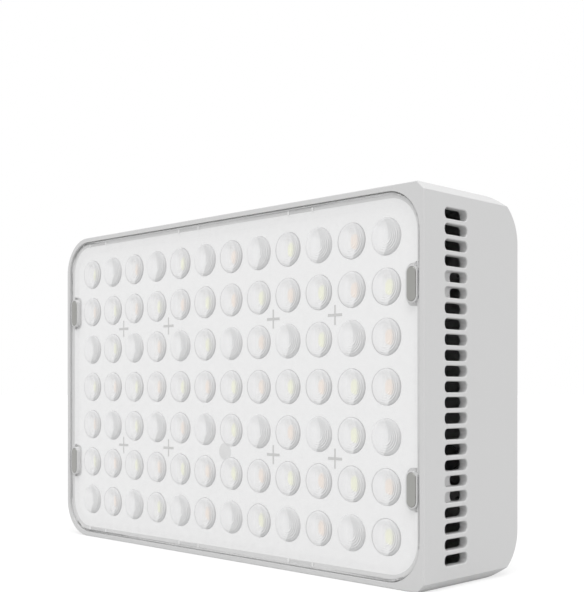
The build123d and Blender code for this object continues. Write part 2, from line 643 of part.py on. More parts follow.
with BuildPart() as lens_array:
    with BuildSketch(at_depth(WEB_BACK)):
        web_inset = SKIRT_THICK + TRAY_GAP
        RectangleRounded(
            2 * (ENGINE_X - web_inset), 2 * (SKIRT_Z - web_inset), SKIRT_CORNER_R - SKIRT_THICK
        )
        with Locations(*TRAY_BOSSES):
            Circle(TRAY_BOSS_R + TRAY_GAP, mode=Mode.SUBTRACT)
    extrude(amount=WEB_THICK)
    with BuildSketch(at_depth(WEB_BACK - WEB_THICK)):
        with Locations(*lens_places("CW-")):
            Circle(LENS_D / 2)
    extrude(amount=TRAY_THICK + PLAY)
    with BuildSketch(at_depth(TRAY_FRONT)):
        with Locations(*lens_places("CW-")):
            Circle(LENS_D / 2)
    extrude(amount=LENS_DOME, taper=LENS_DOME_TAPER)
    # Pockets that the light sources stand in
    drill(lens_places("CW-"), LENS_POCKET_R, LED_FRONT - LED_GAP, WEB_BACK)
save(lens_array.part, "lens_array")

# --- Light sources and their board -------------------------------------------------------------------
for name, kind, size in (
    ("led_chips_cool", "C", LED_WHITE),
    ("led_chips_warm", "W", LED_WHITE),
    ("led_chips_colour", "-", LED_COLOUR),
):
    with BuildPart() as led_chips:
        with BuildSketch(at_depth(BOARD_FRONT)):
            with Locations(*lens_places(kind)):
                Rectangle(*size)
        extrude(amount=LED_HEIGHT)
    save(led_chips.part, name)


def engine_sheet(front, back):
    """Sheet of the light engine between two depths, with holes for the tray's bosses."""
    with BuildPart() as sheet:
        with BuildSketch(at_depth(back)):
            RectangleRounded(BOARD_LENGTH, BOARD_HEIGHT, SKIRT_CORNER_R - SKIRT_THICK)
            with Locations(*TRAY_BOSSES):
                Circle(TRAY_BOSS_R + TRAY_GAP, mode=Mode.SUBTRACT)
        extrude(amount=back - front)
    return sheet.part


led_board = engine_sheet(BOARD_FRONT, BOARD_BACK)
save(led_board, "led_board")
thermal_pad = engine_sheet(BOARD_BACK, SINK_FRONT)
save(thermal_pad, "thermal_pad")

# --- Heat sink ---------------------------------------------------------------------------------------
with BuildPart() as heat_sink:
    with BuildSketch(at_depth(SINK_BACK)):
        RectangleRounded(2 * ENGINE_X, 2 * ENGINE_Z, SKIRT_CORNER_R)
        with Locations(*ENGINE_SCREWS):
            Circle(ENGINE_SCREW_R + HOLE_PLAY, mode=Mode.SUBTRACT)
    extrude(amount=SINK_BASE)
    with BuildSketch(at_depth(FIN_BACK)):
        fin_rows = [
            (0, (i - (VENT_COUNT - 2) / 2) * VENT_PITCH)
            for i in range(VENT_COUNT - 1)
            if abs((i - (VENT_COUNT - 2) / 2) * VENT_PITCH) < BOARD_HEIGHT / 2
        ]
        with Locations(*fin_rows):
            Rectangle(2 * ENGINE_X, FIN_THICK)
        Rectangle(FAN_SIZE + 2 * FAN_BAY_GAP, FAN_SIZE + 2 * FAN_BAY_GAP, mode=Mode.SUBTRACT)
        with Locations(*TRAY_BOSSES):
            Circle(TRAY_SCREW_HEAD_R + 2 * HOLE_PLAY, mode=Mode.SUBTRACT)
        # Clearance round the tripod boss
        with Locations((0, -MID_Z)):
            Rectangle(
                2 * (INSERT_BOSS_R + FIN_END_GAP),
                2 * (INSERT_LENGTH + INSERT_BOSS_WALL + FIN_END_GAP),
                mode=Mode.SUBTRACT,
            )
    extrude(amount=FIN_HEIGHT)
    with BuildSketch(at_depth(FAN_FRONT)):
        with Locations(*FAN_SCREWS):
            Circle(FAN_PILLAR_R)
    extrude(amount=FAN_STANDOFF)
    drill(FAN_SCREWS, FAN_SCREW_R + PILOT_PLAY, SINK_FRONT + PLAY, FAN_FRONT)
    drill(TRAY_BOSSES, TRAY_SCREW_R + HOLE_PLAY, SINK_FRONT, SINK_BACK)
save(heat_sink.part, "heat_sink")

save(
    screws(TRAY_BOSSES, TRAY_SCREW_R, TRAY_SCREW_HEAD_R, SINK_BACK, -TRAY_SCREW_LENGTH),
    "tray_screws",
)
save(
    screws(ENGINE_SCREWS, ENGINE_SCREW_R, ENGINE_SCREW_HEAD_R, SINK_FRONT, ENGINE_SCREW_LENGTH),
    "engine_screws",
)

# --- Fan ---------------------------------------------------------------------------------------------
with BuildPart() as fan_frame:
    with BuildSketch(at_depth(CHAMBER_FRONT)):
        RectangleRounded(FAN_SIZE, FAN_SIZE, FAN_CORNER_R)
    extrude(amount=FAN_BASE)
    # Walls above and below; the two ends stay open and blow into the fins
    with BuildSketch(at_depth(CHAMBER_BACK)):
        wall_z = FAN_SIZE / 2 - FAN_WALL / 2
        with Locations((0, -wall_z), (0, wall_z)):
            Rectangle(FAN_SIZE - 2 * FAN_CORNER_R, FAN_WALL)
        with Locations(*FAN_SCREWS):
            Circle(FAN_PILLAR_R)
    extrude(amount=FAN_CHAMBER)
    with BuildSketch(at_depth(CHAMBER_BACK - PLAY)):
        Circle(PIN_R)
    extrude(amount=FAN_CHAMBER - PLAY)
    drill(FAN_SCREWS, FAN_SCREW_R + HOLE_PLAY, FAN_FRONT, CHAMBER_BACK)
save(fan_frame.part, "fan_frame")

with BuildPart() as fan_lid:
    with BuildSketch(at_depth(FAN_BACK)):
        RectangleRounded(FAN_SIZE, FAN_SIZE, FAN_CORNER_R)
        Circle(FAN_INLET_R, mode=Mode.SUBTRACT)
        with Locations(*FAN_SCREWS):
            Circle(FAN_SCREW_R + HOLE_PLAY, mode=Mode.SUBTRACT)
    extrude(amount=FAN_LID)
save(fan_lid.part, "fan_lid")

STATOR_BACK = CHAMBER_BACK - ROTOR_GAP - ROTOR_TOP - ROTOR_GAP
with BuildPart() as fan_stator:
    with BuildSketch(at_depth(STATOR_BACK)):
        Circle(STATOR_R)
        with PolarLocations(STATOR_R, 6):
            Rectangle(STATOR_R * 0.6, FAN_WALL, mode=Mode.SUBTRACT)
        Circle(STATOR_BORE_R, mode=Mode.SUBTRACT)
    extrude(amount=STATOR_BACK - CHAMBER_FRONT)
save(fan_stator.part, "fan_stator")

ROTOR_FRONT = CHAMBER_FRONT + ROTOR_GAP
ROTOR_BACK = CHAMBER_BACK - ROTOR_GAP
with BuildPart() as fan_rotor:
    with BuildSketch(at_depth(ROTOR_BACK)):
        Circle(ROTOR_HUB_R)
        # Each blade starts inside the cup's wall and leans back from the radius
        with PolarLocations(ROTOR_HUB_R - ROTOR_CUP_WALL / 2, BLADE_COUNT):
            with Locations(Rot(0, 0, BLADE_LEAN)):
                Rectangle(BLADE_LENGTH, BLADE_THICK, align=(Align.MIN, Align.CENTER))
    extrude(amount=ROTOR_BACK - ROTOR_FRONT)
    with BuildSketch(at_depth(ROTOR_BACK - ROTOR_TOP)):
        Circle(ROTOR_HUB_R - ROTOR_CUP_WALL)
        Circle(ROTOR_BOSS_R, mode=Mode.SUBTRACT)
    extrude(amount=ROTOR_BACK - ROTOR_TOP - ROTOR_FRONT, mode=Mode.SUBTRACT)
    drill([(0, 0)], PIN_R + PIN_CLEARANCE, ROTOR_FRONT, ROTOR_BACK)
save(fan_rotor.part, "fan_rotor")

fan_screw_length = FAN_BACK - SINK_FRONT - 2 * PLAY
save(screws(FAN_SCREWS, FAN_SCREW_R, FAN_SCREW_HEAD_R, FAN_BACK, -fan_screw_length), "fan_screws")

# --- Battery and its holder --------------------------------------------------------------------------
with BuildPart() as battery_cells:
    with BuildSketch(at_depth(CELL_BACK)):
        with Locations((-CELL_X, 0), (CELL_X, 0)):
            RectangleRounded(CELL_WIDTH, CELL_HEIGHT, HOLDER_FLOOR)
    extrude(amount=CELL_THICK)
    fillet(edges().filter_by(Axis.Z), HOLDER_FLOOR)
save(battery_cells.part, "battery_cells")

with BuildPart() as battery_pads:
    with BuildSketch(at_depth(HOLDER_FRONT)):
        with Locations((-CELL_X, 0), (CELL_X, 0)):
            Rectangle(CELL_WIDTH - CELL_THICK, CELL_HEIGHT - CELL_THICK)
    extrude(amount=HOLDER_FRONT - CELL_BACK)
save(battery_pads.part, "battery_pads")

with BuildPart() as battery_holder:
    with BuildSketch(at_depth(HOLDER_BACK)):
        Rectangle(2 * CARRIER_RIGHT, CARRIER_HEIGHT)
        SlotOverall(CELL_HEIGHT, AIR_SHAFT_WIDTH, rotation=90, mode=Mode.SUBTRACT)
        with Locations(*CARRIER_SCREWS):
            Circle(CARRIER_SCREW_R + HOLE_PLAY, mode=Mode.SUBTRACT)
    extrude(amount=HOLDER_FLOOR)
    with BuildSketch(at_depth(HOLDER_FRONT)):
        with Locations((-CELL_X, 0), (CELL_X, 0)):
            Rectangle(CELL_WIDTH + 2 * (CELL_GAP + HOLDER_WALL), CELL_HEIGHT + 2 * (CELL_GAP + HOLDER_WALL))
            Rectangle(CELL_WIDTH + 2 * CELL_GAP, CELL_HEIGHT + 2 * CELL_GAP, mode=Mode.SUBTRACT)
    extrude(amount=HOLDER_RIM)
save(battery_holder.part, "battery_holder")

# --- Main board and what it carries ------------------------------------------------------------------
with BuildPart() as main_board:
    with BuildSketch(at_depth(MAIN_BACK)):
        with Locations(((MAIN_LEFT + CARRIER_RIGHT) / 2, 0)):
            Rectangle(CARRIER_RIGHT - MAIN_LEFT, CARRIER_HEIGHT)
        SlotOverall(CELL_HEIGHT, AIR_SHAFT_WIDTH, rotation=90, mode=Mode.SUBTRACT)
        with Locations(*CARRIER_SCREWS):
            Circle(CARRIER_SCREW_R + HOLE_PLAY, mode=Mode.SUBTRACT)
    extrude(amount=MAIN_BOARD_THICK)
save(main_board.part, "main_board")


def on_board(size, places, thick):
    """Rectangular components of one height on the main board's rear side."""
    with BuildPart() as components:
        with BuildSketch(at_depth(MAIN_BACK + thick)):
            with Locations(*places):
                Rectangle(*size)
        extrude(amount=thick)
    return components.part


chip_x = (AIR_SHAFT_WIDTH / 2 + CONTROLS_X - ENCODER_SIZE[0] / 2) / 2
chip_places = [(chip_x, CHIP_Z + i * CHIP_PITCH) for i in range(CHIP_COUNT)]
save(on_board(CHIP_SIZE, chip_places, CHIP_THICK), "driver_chips")

with BuildPart() as tact_switches:
    add(on_board((TACT_SIZE, TACT_SIZE), BUTTONS, TACT_HEIGHT))
    with BuildSketch(at_depth(MAIN_BACK + TACT_HEIGHT + TACT_DOME)):
        with Locations(*BUTTONS):
            Circle(TACT_DOME_R)
    extrude(amount=TACT_DOME)
save(tact_switches.part, "tact_switches")

save(on_board(SWITCH_SIZE, [(SLIDER_X, SLIDER_Z)], SWITCH_HEIGHT), "power_switch")

with BuildPart() as encoder_body:
    with BuildSketch(at_depth(ENCODER_BACK)):
        with Locations((CONTROLS_X, WELL_Z)):
            Rectangle(*ENCODER_SIZE)
            Circle(SHAFT_R + SHAFT_CLEARANCE, mode=Mode.SUBTRACT)
    extrude(amount=ENCODER_BACK - MAIN_BACK)
save(encoder_body.part, "encoder_body")

with BuildPart() as encoder_plunger:
    with BuildSketch(at_depth(PLUNGER_FRONT + PLUNGER_THICK)):
        with Locations((CONTROLS_X, WELL_Z)):
            Circle(SHAFT_R)
    extrude(amount=PLUNGER_THICK)
save(encoder_plunger.part, "encoder_plunger")

with BuildPart() as encoder_shaft:
    with BuildSketch(at_depth(SHAFT_BACK)):
        with Locations((CONTROLS_X, WELL_Z)):
            Circle(SHAFT_R)
    extrude(amount=SHAFT_BACK - SHAFT_FRONT)
save(encoder_shaft.part, "encoder_shaft")

with BuildPart() as control_knob:
    with BuildSketch(at_depth(KNOB_BACK)):
        with Locations((CONTROLS_X, WELL_Z)):
            Circle(KNOB_R)
            with PolarLocations(KNOB_R, KNOB_GRIP_COUNT):
                Circle(KNOB_GRIP_R, mode=Mode.SUBTRACT)
    extrude(amount=KNOB_BACK - KNOB_FRONT)
    with BuildSketch(at_depth(KNOB_BACK)):
        with Locations((CONTROLS_X, WELL_Z)):
            Circle(KNOB_R - 2 * KNOB_GRIP_R)
    extrude(amount=KNOB_DISH, mode=Mode.SUBTRACT)
    drill([(CONTROLS_X, WELL_Z)], SHAFT_R, KNOB_FRONT, SHAFT_BACK)
save(control_knob.part, "control_knob")

with BuildPart() as screen_module:
    with BuildSketch(at_depth(REAR_INNER - PLAY)):
        with Locations((SCREEN_X, SCREEN_Z)):
            Rectangle(SCREEN_VIEW[0] + 2 * SCREEN_BORDER, SCREEN_VIEW[1] + 2 * SCREEN_BORDER)
    extrude(amount=REAR_INNER - PLAY - MAIN_BACK)
save(screen_module.part, "screen_module")

# --- Rear cover --------------------------------------------------------------------------------------
def screen_pane(gap):
    """Outline of the window pane over the screen, grown by a gap."""
    border = 2 * (SCREEN_BORDER + gap)
    with Locations((SCREEN_X, SCREEN_Z)):
        RectangleRounded(SCREEN_VIEW[0] + border, SCREEN_VIEW[1] + border, SCREEN_CORNER_R + SCREEN_BORDER)


with BuildPart() as rear_cover:
    with BuildSketch(at_depth(DEPTH)):
        RectangleRounded(*REAR_OPENING, REAR_CORNER_R)
        offset(amount=-REAR_GAP, mode=Mode.REPLACE)
    extrude(amount=REAR_THICK)

    # Well for the knob, hanging inside the cover
    with BuildSketch(at_depth(REAR_INNER)):
        with Locations((CONTROLS_X, WELL_Z)):
            Circle(WELL_R + WELL_WALL)
    extrude(amount=REAR_INNER - WELL_BOTTOM + WELL_FLOOR)
    drill([(CONTROLS_X, WELL_Z)], WELL_R, WELL_BOTTOM, DEPTH)
    drill([(CONTROLS_X, WELL_Z)], SHAFT_R + SHAFT_CLEARANCE, WELL_BOTTOM - WELL_FLOOR, WELL_BOTTOM)

    # Bosses that the main board and the battery holder are screwed to
    with BuildSketch(at_depth(REAR_INNER)):
        with Locations(*CARRIER_SCREWS):
            Circle(CARRIER_BOSS_R)
    extrude(amount=REAR_INNER - MAIN_BACK)
    drill(CARRIER_SCREWS, CARRIER_SCREW_R + PILOT_PLAY, MAIN_BACK, REAR_INNER)

    # Openings for the buttons, the slider, the screen and the intake air
    with BuildSketch(at_depth(DEPTH)):
        with Locations(*BUTTONS):
            SlotOverall(BUTTON_LENGTH + 2 * BUTTON_GAP, BUTTON_WIDTH + 2 * BUTTON_GAP)
        with Locations((SLIDER_X, SLIDER_Z)):
            Rectangle(SLIDER_LENGTH + SLIDER_TRAVEL + 2 * SLIDER_GAP, SLIDER_WIDTH + 2 * SLIDER_GAP)
        with Locations((SCREEN_X, SCREEN_Z)):
            RectangleRounded(*SCREEN_VIEW, SCREEN_CORNER_R)
        with GridLocations(1, INTAKE_PITCH, 1, INTAKE_COUNT):
            SlotOverall(*INTAKE_SLOT)
    extrude(amount=REAR_THICK, mode=Mode.SUBTRACT)
    with BuildSketch(at_depth(DEPTH)):
        screen_pane(SCREEN_GAP)
    extrude(amount=SCREEN_PANE + PLAY, mode=Mode.SUBTRACT)

    # Countersunk screw holes
    with Locations(*[at_depth(DEPTH) * Location((x, z, 0), (0, 180, 0)) for x, z in REAR_SCREWS]):
        CounterSinkHole(REAR_SCREW_R + HOLE_PLAY, REAR_SCREW_HEAD_R + HOLE_PLAY, REAR_THICK, 90)
save(rear_cover.part, "rear_cover")

with BuildPart() as rear_cover_screws:
    with BuildSketch(at_depth(DEPTH - FLUSH_GAP)):
        with Locations(*REAR_SCREWS):
            Circle(REAR_SCREW_HEAD_R)
    extrude(amount=REAR_SCREW_HEAD_R - REAR_SCREW_R, taper=45)
    with BuildSketch(at_depth(DEPTH - FLUSH_GAP - REAR_SCREW_HEAD_R + REAR_SCREW_R)):
        with Locations(*REAR_SCREWS):
            Circle(REAR_SCREW_R)
    extrude(amount=REAR_SCREW_LENGTH - REAR_SCREW_HEAD_R + REAR_SCREW_R)
    with BuildSketch(at_depth(DEPTH - FLUSH_GAP)):
        with Locations(*REAR_SCREWS):
            RegularPolygon(REAR_SCREW_HEAD_R * DRIVE_SHARE, 6)
    extrude(amount=SCREW_HEAD, mode=Mode.SUBTRACT)
save(rear_cover_screws.part, "rear_cover_screws")

carrier_screw_length = REAR_INNER - HOLDER_FRONT - PLAY
save(
    screws(CARRIER_SCREWS, CARRIER_SCREW_R, CARRIER_SCREW_HEAD_R, HOLDER_FRONT, carrier_screw_length),
    "carrier_screws",
)

with BuildPart() as screen_window:
    with BuildSketch(at_depth(DEPTH)):
        screen_pane(0)
    extrude(amount=SCREEN_PANE)
save(screen_window.part, "screen_window")

# --- Push buttons and power slider -------------------------------------------------------------------
for name, (x, z) in zip(("button_mode", "button_preset", "button_wireless"), BUTTONS):
    with BuildPart() as button:
        with BuildSketch(at_depth(DEPTH - FLUSH_GAP)):
            with Locations((x, z)):
                SlotOverall(BUTTON_LENGTH, BUTTON_WIDTH)
        extrude(amount=DEPTH - FLUSH_GAP - BUTTON_FLANGE_BACK)
        fillet(faces().sort_by(Axis.Y)[-1].edges(), 2 * BUTTON_GAP)
        with BuildSketch(at_depth(BUTTON_FLANGE_BACK)):
            with Locations((x, z)):
                SlotOverall(BUTTON_LENGTH + 2 * BUTTON_FLANGE, BUTTON_WIDTH + 2 * BUTTON_FLANGE)
        extrude(amount=BUTTON_FLANGE_THICK)
        with BuildSketch(at_depth(BUTTON_FLANGE_BACK - BUTTON_FLANGE_THICK)):
            with Locations((x, z)):
                Circle(BUTTON_STEM_R)
        extrude(amount=BUTTON_FLANGE_BACK - BUTTON_FLANGE_THICK - BUTTON_STEM_FRONT)
    save(button.part, name)

SLIDER_REST_X = SLIDER_X - SLIDER_TRAVEL / 2
with BuildPart() as power_slider:
    with BuildSketch(at_depth(DEPTH - FLUSH_GAP)):
        with Locations((SLIDER_REST_X, SLIDER_Z)):
            Rectangle(SLIDER_LENGTH, SLIDER_WIDTH)
    extrude(amount=DEPTH - FLUSH_GAP - BUTTON_FLANGE_BACK)
    with BuildSketch(at_depth(DEPTH - FLUSH_GAP)):
        with Locations((SLIDER_REST_X, SLIDER_Z)):
            with GridLocations(SLIDER_RIB_PITCH, 1, SLIDER_RIB_COUNT, 1):
                Rectangle(SLIDER_RIB_PITCH / 2, SLIDER_WIDTH)
    extrude(amount=SLIDER_RIB_DEPTH, mode=Mode.SUBTRACT)
    with BuildSketch(at_depth(BUTTON_FLANGE_BACK)):
        with Locations((SLIDER_REST_X, SLIDER_Z)):
            Rectangle(SLIDER_LENGTH + 2 * SLIDER_TRAVEL, SLIDER_WIDTH + 2 * SLIDER_FLANGE)
    extrude(amount=SLIDER_FLANGE_THICK)
    with BuildSketch(at_depth(BUTTON_FLANGE_BACK - SLIDER_FLANGE_THICK)):
        with Locations((SLIDER_REST_X, SLIDER_Z)):
            Rectangle(SLIDER_WIDTH / 2, SLIDER_WIDTH / 2)
    extrude(amount=BUTTON_FLANGE_BACK - SLIDER_FLANGE_THICK - MAIN_BACK - SWITCH_HEIGHT - PLAY)
save(power_slider.part, "power_slider")

# --- Charging inlet and its board --------------------------------------------------------------------
with BuildPart() as inlet_board:
    with BuildSketch(at_depth(USB_BOARD_BACK)):
        with Locations((USB_BOARD_X + USB_BOARD_LENGTH / 2, USB_Z)):
            Rectangle(USB_BOARD_LENGTH, USB_BOARD_HEIGHT)
        with Locations(*usb_screws):
            Circle(TRAY_SCREW_R + HOLE_PLAY, mode=Mode.SUBTRACT)
    extrude(amount=USB_BOARD_THICK)
save(inlet_board.part, "inlet_board")

inlet_screw_length = USB_SHELF_DEPTH
save(
    screws(usb_screws, TRAY_SCREW_R, TRAY_SCREW_HEAD_R, USB_BOARD_BACK, -inlet_screw_length),
    "inlet_screws",
)

with BuildPart() as usb_c_inlet:
    with BuildSketch(end_plane(USB_X)):
        with Locations((FRONT_Y + USB_DEPTH, USB_Z)):
            SlotOverall(*USB_SHELL, rotation=90)
    extrude(amount=USB_LENGTH)
    with BuildSketch(end_plane(USB_X)):
        with Locations((FRONT_Y + USB_DEPTH, USB_Z)):
            SlotOverall(
                USB_SHELL[0] - 2 * USB_SHELL_THICK, USB_SHELL[1] - 2 * USB_SHELL_THICK, rotation=90
            )
    extrude(amount=USB_LENGTH - USB_SHELL_THICK, mode=Mode.SUBTRACT)
    with BuildSketch(end_plane(USB_X + USB_LENGTH - USB_SHELL_THICK)):
        with Locations((FRONT_Y + USB_DEPTH, USB_Z)):
            Rectangle(USB_TONGUE[1], USB_TONGUE[0])
    extrude(amount=-USB_TONGUE_LENGTH)
save(usb_c_inlet.part, "usb_c_inlet")

# --- Tripod thread -----------------------------------------------------------------------------------
with BuildPart() as tripod_insert:
    with BuildSketch(Plane.XY.offset(PLAY)):
        Circle(INSERT_FLANGE_R)
    extrude(amount=INSERT_FLANGE)
    with BuildSketch(Plane.XY.offset(PLAY)):
        Circle(INSERT_R)
    extrude(amount=INSERT_LENGTH - PLAY)
    with BuildSketch(Plane.XY.offset(PLAY)):
        Circle(THREAD_R)
    extrude(amount=INSERT_LENGTH - PLAY, mode=Mode.SUBTRACT)
save(tripod_insert.part, "tripod_insert")
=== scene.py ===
"""A pocket LED panel light: lenses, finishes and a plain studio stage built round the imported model."""

import math

import bpy
from bpy.props import (
    FloatProperty,
    FloatVectorProperty,
    IntProperty,
    PointerProperty,
)
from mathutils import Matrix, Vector


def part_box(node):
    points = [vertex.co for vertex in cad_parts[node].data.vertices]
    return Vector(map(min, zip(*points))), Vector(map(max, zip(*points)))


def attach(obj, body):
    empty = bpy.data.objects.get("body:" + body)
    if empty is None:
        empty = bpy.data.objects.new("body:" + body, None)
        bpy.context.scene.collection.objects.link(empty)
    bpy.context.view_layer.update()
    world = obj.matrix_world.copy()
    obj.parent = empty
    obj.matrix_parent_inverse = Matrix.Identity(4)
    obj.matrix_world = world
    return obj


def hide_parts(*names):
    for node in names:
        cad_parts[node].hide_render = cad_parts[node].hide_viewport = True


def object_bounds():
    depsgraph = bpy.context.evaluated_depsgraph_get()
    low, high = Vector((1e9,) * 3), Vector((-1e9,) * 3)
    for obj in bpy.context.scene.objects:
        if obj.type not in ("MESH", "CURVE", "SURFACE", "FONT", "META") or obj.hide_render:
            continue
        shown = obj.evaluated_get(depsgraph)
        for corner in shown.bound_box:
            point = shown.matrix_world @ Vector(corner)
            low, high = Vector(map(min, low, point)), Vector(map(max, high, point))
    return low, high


bl_info = {
    "name": "Pocket LED Panel Light",
    "version": (1, 0, 0),
    "blender": (4, 5, 0),
    "location": "3D View > Sidebar > Panel Light",
    "description": "Lenses, light sources, finishes and a plain studio stage for a pocket LED panel light",
    "category": "Object",
}

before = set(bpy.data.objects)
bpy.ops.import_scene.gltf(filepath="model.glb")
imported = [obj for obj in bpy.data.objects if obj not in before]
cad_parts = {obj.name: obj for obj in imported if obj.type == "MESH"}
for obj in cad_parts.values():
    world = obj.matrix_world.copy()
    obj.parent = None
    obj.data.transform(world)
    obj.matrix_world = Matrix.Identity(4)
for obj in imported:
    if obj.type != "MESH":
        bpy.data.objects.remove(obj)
CAD_BOX = [list(corner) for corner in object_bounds()]

MM = 0.001
LIGHT_BODY = "light_body"
CHIP_NODES = ("led_chips_cool", "led_chips_warm", "led_chips_colour")
FRONT_Y = CAD_BOX[0][1]
MID_Z = (CAD_BOX[0][2] + CAD_BOX[1][2]) / 2
CLIP_CENTRES = (-45.12 * MM, -9.57 * MM, 25.98 * MM)  # X of the cover's clips, the same above and below
MAGNET_SETBACK = 3.04 * MM  # from an end of the body to a magnet's middle
MAGNET_LEVEL = 19.0 * MM  # from mid height to a magnet's middle
MAGNET_EDGE = 0.07 * MM  # chamfer round a magnet's face
MAGNET_TIP = 0.001 * MM  # flat left between the round ends' quarters
MAGNET_CENTRES = [
    (side * (CAD_BOX[1][0] - MAGNET_SETBACK), MID_Z + level * MAGNET_LEVEL)
    for side in (-1, 1)
    for level in (-1, 1)
]
NOTCH_REACH = 4.1 * MM  # half height of the plate's notch round a magnet
SOURCE_REACH = 4 * MM  # two light sources are further apart than this
SKIRT_DEPTH = 0.9 * MM  # of a lens behind the plate's front face
HOLE_GAP = 0.07 * MM  # between a lens and its hole
KEY_DISTANCE = 0.6  # m, only where the key light's object stands
CAMERA_PLACE = (174.34 * MM, -167.53 * MM, MID_Z)
CAMERA_TURN = math.radians(44.645)  # from the lit face towards the +X end
CAMERA_LENS = 63.405  # mm, on a sensor 36 mm wide
CAMERA_SHIFT = 0.1535  # upwards, in widths of the picture

# Painted shade on a flank and painted highlights of a lens; lengths are shares of its radius
FLANK_BOW = 0.40  # how far the flank's inner edge bows out above and below
FLANK_BLUR = 0.06  # half width of that edge
FLANK_CLOUD = 0.75  # cloudiness of the flank
OUTLINE_SHIFT = 0.17  # how far the outline moves in on the side that turns away
# The bright arcs are a painted highlight
CREST_RADIUS = 0.40  # of the bright arcs


# --- Settings ----------------------------------------------------------------------------------------


def colour(name, description, value):
    return FloatVectorProperty(
        name=name, description=description, subtype="COLOR", size=3, min=0, max=1, default=value
    )


def length(name, description, value):
    return FloatProperty(
        name=name, description=description, unit="LENGTH", subtype="DISTANCE", min=0, default=value
    )


def share(name, description, value):
    return FloatProperty(
        name=name, description=description, subtype="FACTOR", min=0, max=1, default=value
    )


class FinishSettings(bpy.types.PropertyGroup):
    body: colour("Body", "Moulded plastic of the housing", (0.66, 0.66, 0.66))
    rear: colour("Rear cover", "Moulded plastic of the rear cover", (0.66, 0.66, 0.665))
    tray: colour("Tray", "White plate that the lenses show through", (0.90, 0.90, 0.902))
    band: colour("Ledge band", "Ledge seen through the cover's border", (0.68, 0.68, 0.68))
    gasket: colour("Gasket", "Grey band round the plate", (0.66, 0.66, 0.66))
    clip: colour("Clip seats", "Grey seats where the cover clips in", (0.62, 0.62, 0.62))
    mark: colour("Plate marks", "Crosses on the plate", (0.60, 0.60, 0.595))
    magnet: colour("Magnets", "Nickel-plated accessory magnets", (0.36, 0.36, 0.345))
    control: colour("Controls", "Knob, buttons and power slider", (0.30, 0.30, 0.305))
    sink: colour("Heat sink", "Black anodised aluminium", (0.003, 0.003, 0.003))


class LensSettings(bpy.types.PropertyGroup):
    radius: length("Radius", "Radius of a lens", 3.575 * MM)
    rise: length("Rise", "How far a lens stands above the plate", 0.6 * MM)
    rings: IntProperty(name="Rings", description="Mesh rings from a lens's centre to its rim", default=12)
    segments: IntProperty(name="Segments", description="Mesh segments round a lens", default=40)
    ripple: length("Ripple", "Distance between the fine moulded rings", 0.46 * MM)
    clear: colour("Lens", "Body colour of the moulded lenses", (0.90, 0.90, 0.905))
    # Painted shade: grey painted on the +X flank, the top and the rim of every lens
    rim: colour("Lens flank", "Colour of a lens's shaded flank", (0.61, 0.612, 0.616))
    # Painted highlight: lighter tone painted on the rings' lit sides and on fine arcs near the crest
    shine: colour("Ring shine", "Lit sides of the moulded rings", (0.96, 0.96, 0.96))
    # Also painted shade on the rings' far sides, besides the dark line round a lens
    line: colour("Outline", "Line round a lens and dark sides of its rings", (0.36, 0.36, 0.365))
    cool: colour("Cool phosphor", "Light source of the cool white lenses", (0.97, 0.99, 0.67))
    warm: colour("Warm phosphor", "Light source of the warm white lenses", (0.98, 0.80, 0.66))
    package: colour("Package", "Ceramic package of a light source", (0.90, 0.90, 0.895))


class StageSettings(bpy.types.PropertyGroup):
    world: FloatProperty(name="World", description="Strength of the world's light", default=0.915)
    key: FloatProperty(name="Key", description="Strength of the key light", default=1.2)
    key_height: FloatProperty(
        name="Key height", description="Elevation of the key light", subtype="ANGLE", default=math.radians(70)
    )
    key_turn: FloatProperty(
        name="Key turn", description="Turn of the key light from the lit face", subtype="ANGLE",
        default=math.radians(42),
    )
    key_size: FloatProperty(
        name="Key size", description="Angle that the key light fills", subtype="ANGLE",
        default=math.radians(50),
    )
    floor: share("Floor", "How much light the floor gives back", 0.58)
    floor_seen: share("Seen floor", "How much of the floor's tone is its own lit colour", 0.34)
    floor_size: length("Floor size", "Side of the floor", 8.0)


# --- Shader node groups ------------------------------------------------------------------------------

SURFACE_OUTPUTS = (
    ("Color", "NodeSocketColor"), ("Roughness", "NodeSocketFloat"), ("Height", "NodeSocketFloat"),
)


def node_group(name, inputs, outputs):
    """New shader node group with its input and output nodes."""
    group = bpy.data.node_groups.new(name, "ShaderNodeTree")
    for label, kind, value in inputs:
        socket = group.interface.new_socket(label, in_out="INPUT", socket_type=kind)
        socket.default_value = value
    for label, kind in outputs:
        group.interface.new_socket(label, in_out="OUTPUT", socket_type=kind)
    return group, group.nodes.new("NodeGroupInput"), group.nodes.new("NodeGroupOutput")


def math_node(tree, operation, first, second=None, third=None, clamp=False):
    """Math node on links or numbers; returns its output."""
    node = tree.nodes.new("ShaderNodeMath")
    node.operation = operation
    node.use_clamp = clamp
    for socket, value in zip(node.inputs, (first, second, third)):
        if value is None:
            continue
        if isinstance(value, bpy.types.NodeSocket):
            tree.links.new(value, socket)
        else:
            socket.default_value = value
    return node.outputs[0]


def map_range(tree, value, low, high, to_low, to_high):
    """Smoothly clamped map of one range to another."""
    node = tree.nodes.new("ShaderNodeMapRange")
    node.interpolation_type = "SMOOTHSTEP"
    for socket, given in zip(node.inputs, (value, low, high, to_low, to_high)):
        if isinstance(given, bpy.types.NodeSocket):
            tree.links.new(given, socket)
        else:
            socket.default_value = given
    return node.outputs[0]


def mix_colour(tree, factor, first, second):
    """Colour mix; factor and colours are links or values."""
    node = tree.nodes.new("ShaderNodeMix")
    node.data_type = "RGBA"
    for socket, value in ((node.inputs[0], factor), (node.inputs[6], first), (node.inputs[7], second)):
        if isinstance(value, bpy.types.NodeSocket):
            tree.links.new(value, socket)
        elif isinstance(value, (int, float)):
            socket.default_value = value
        else:
            socket.default_value = (*value, 1)
    return node.outputs[2]


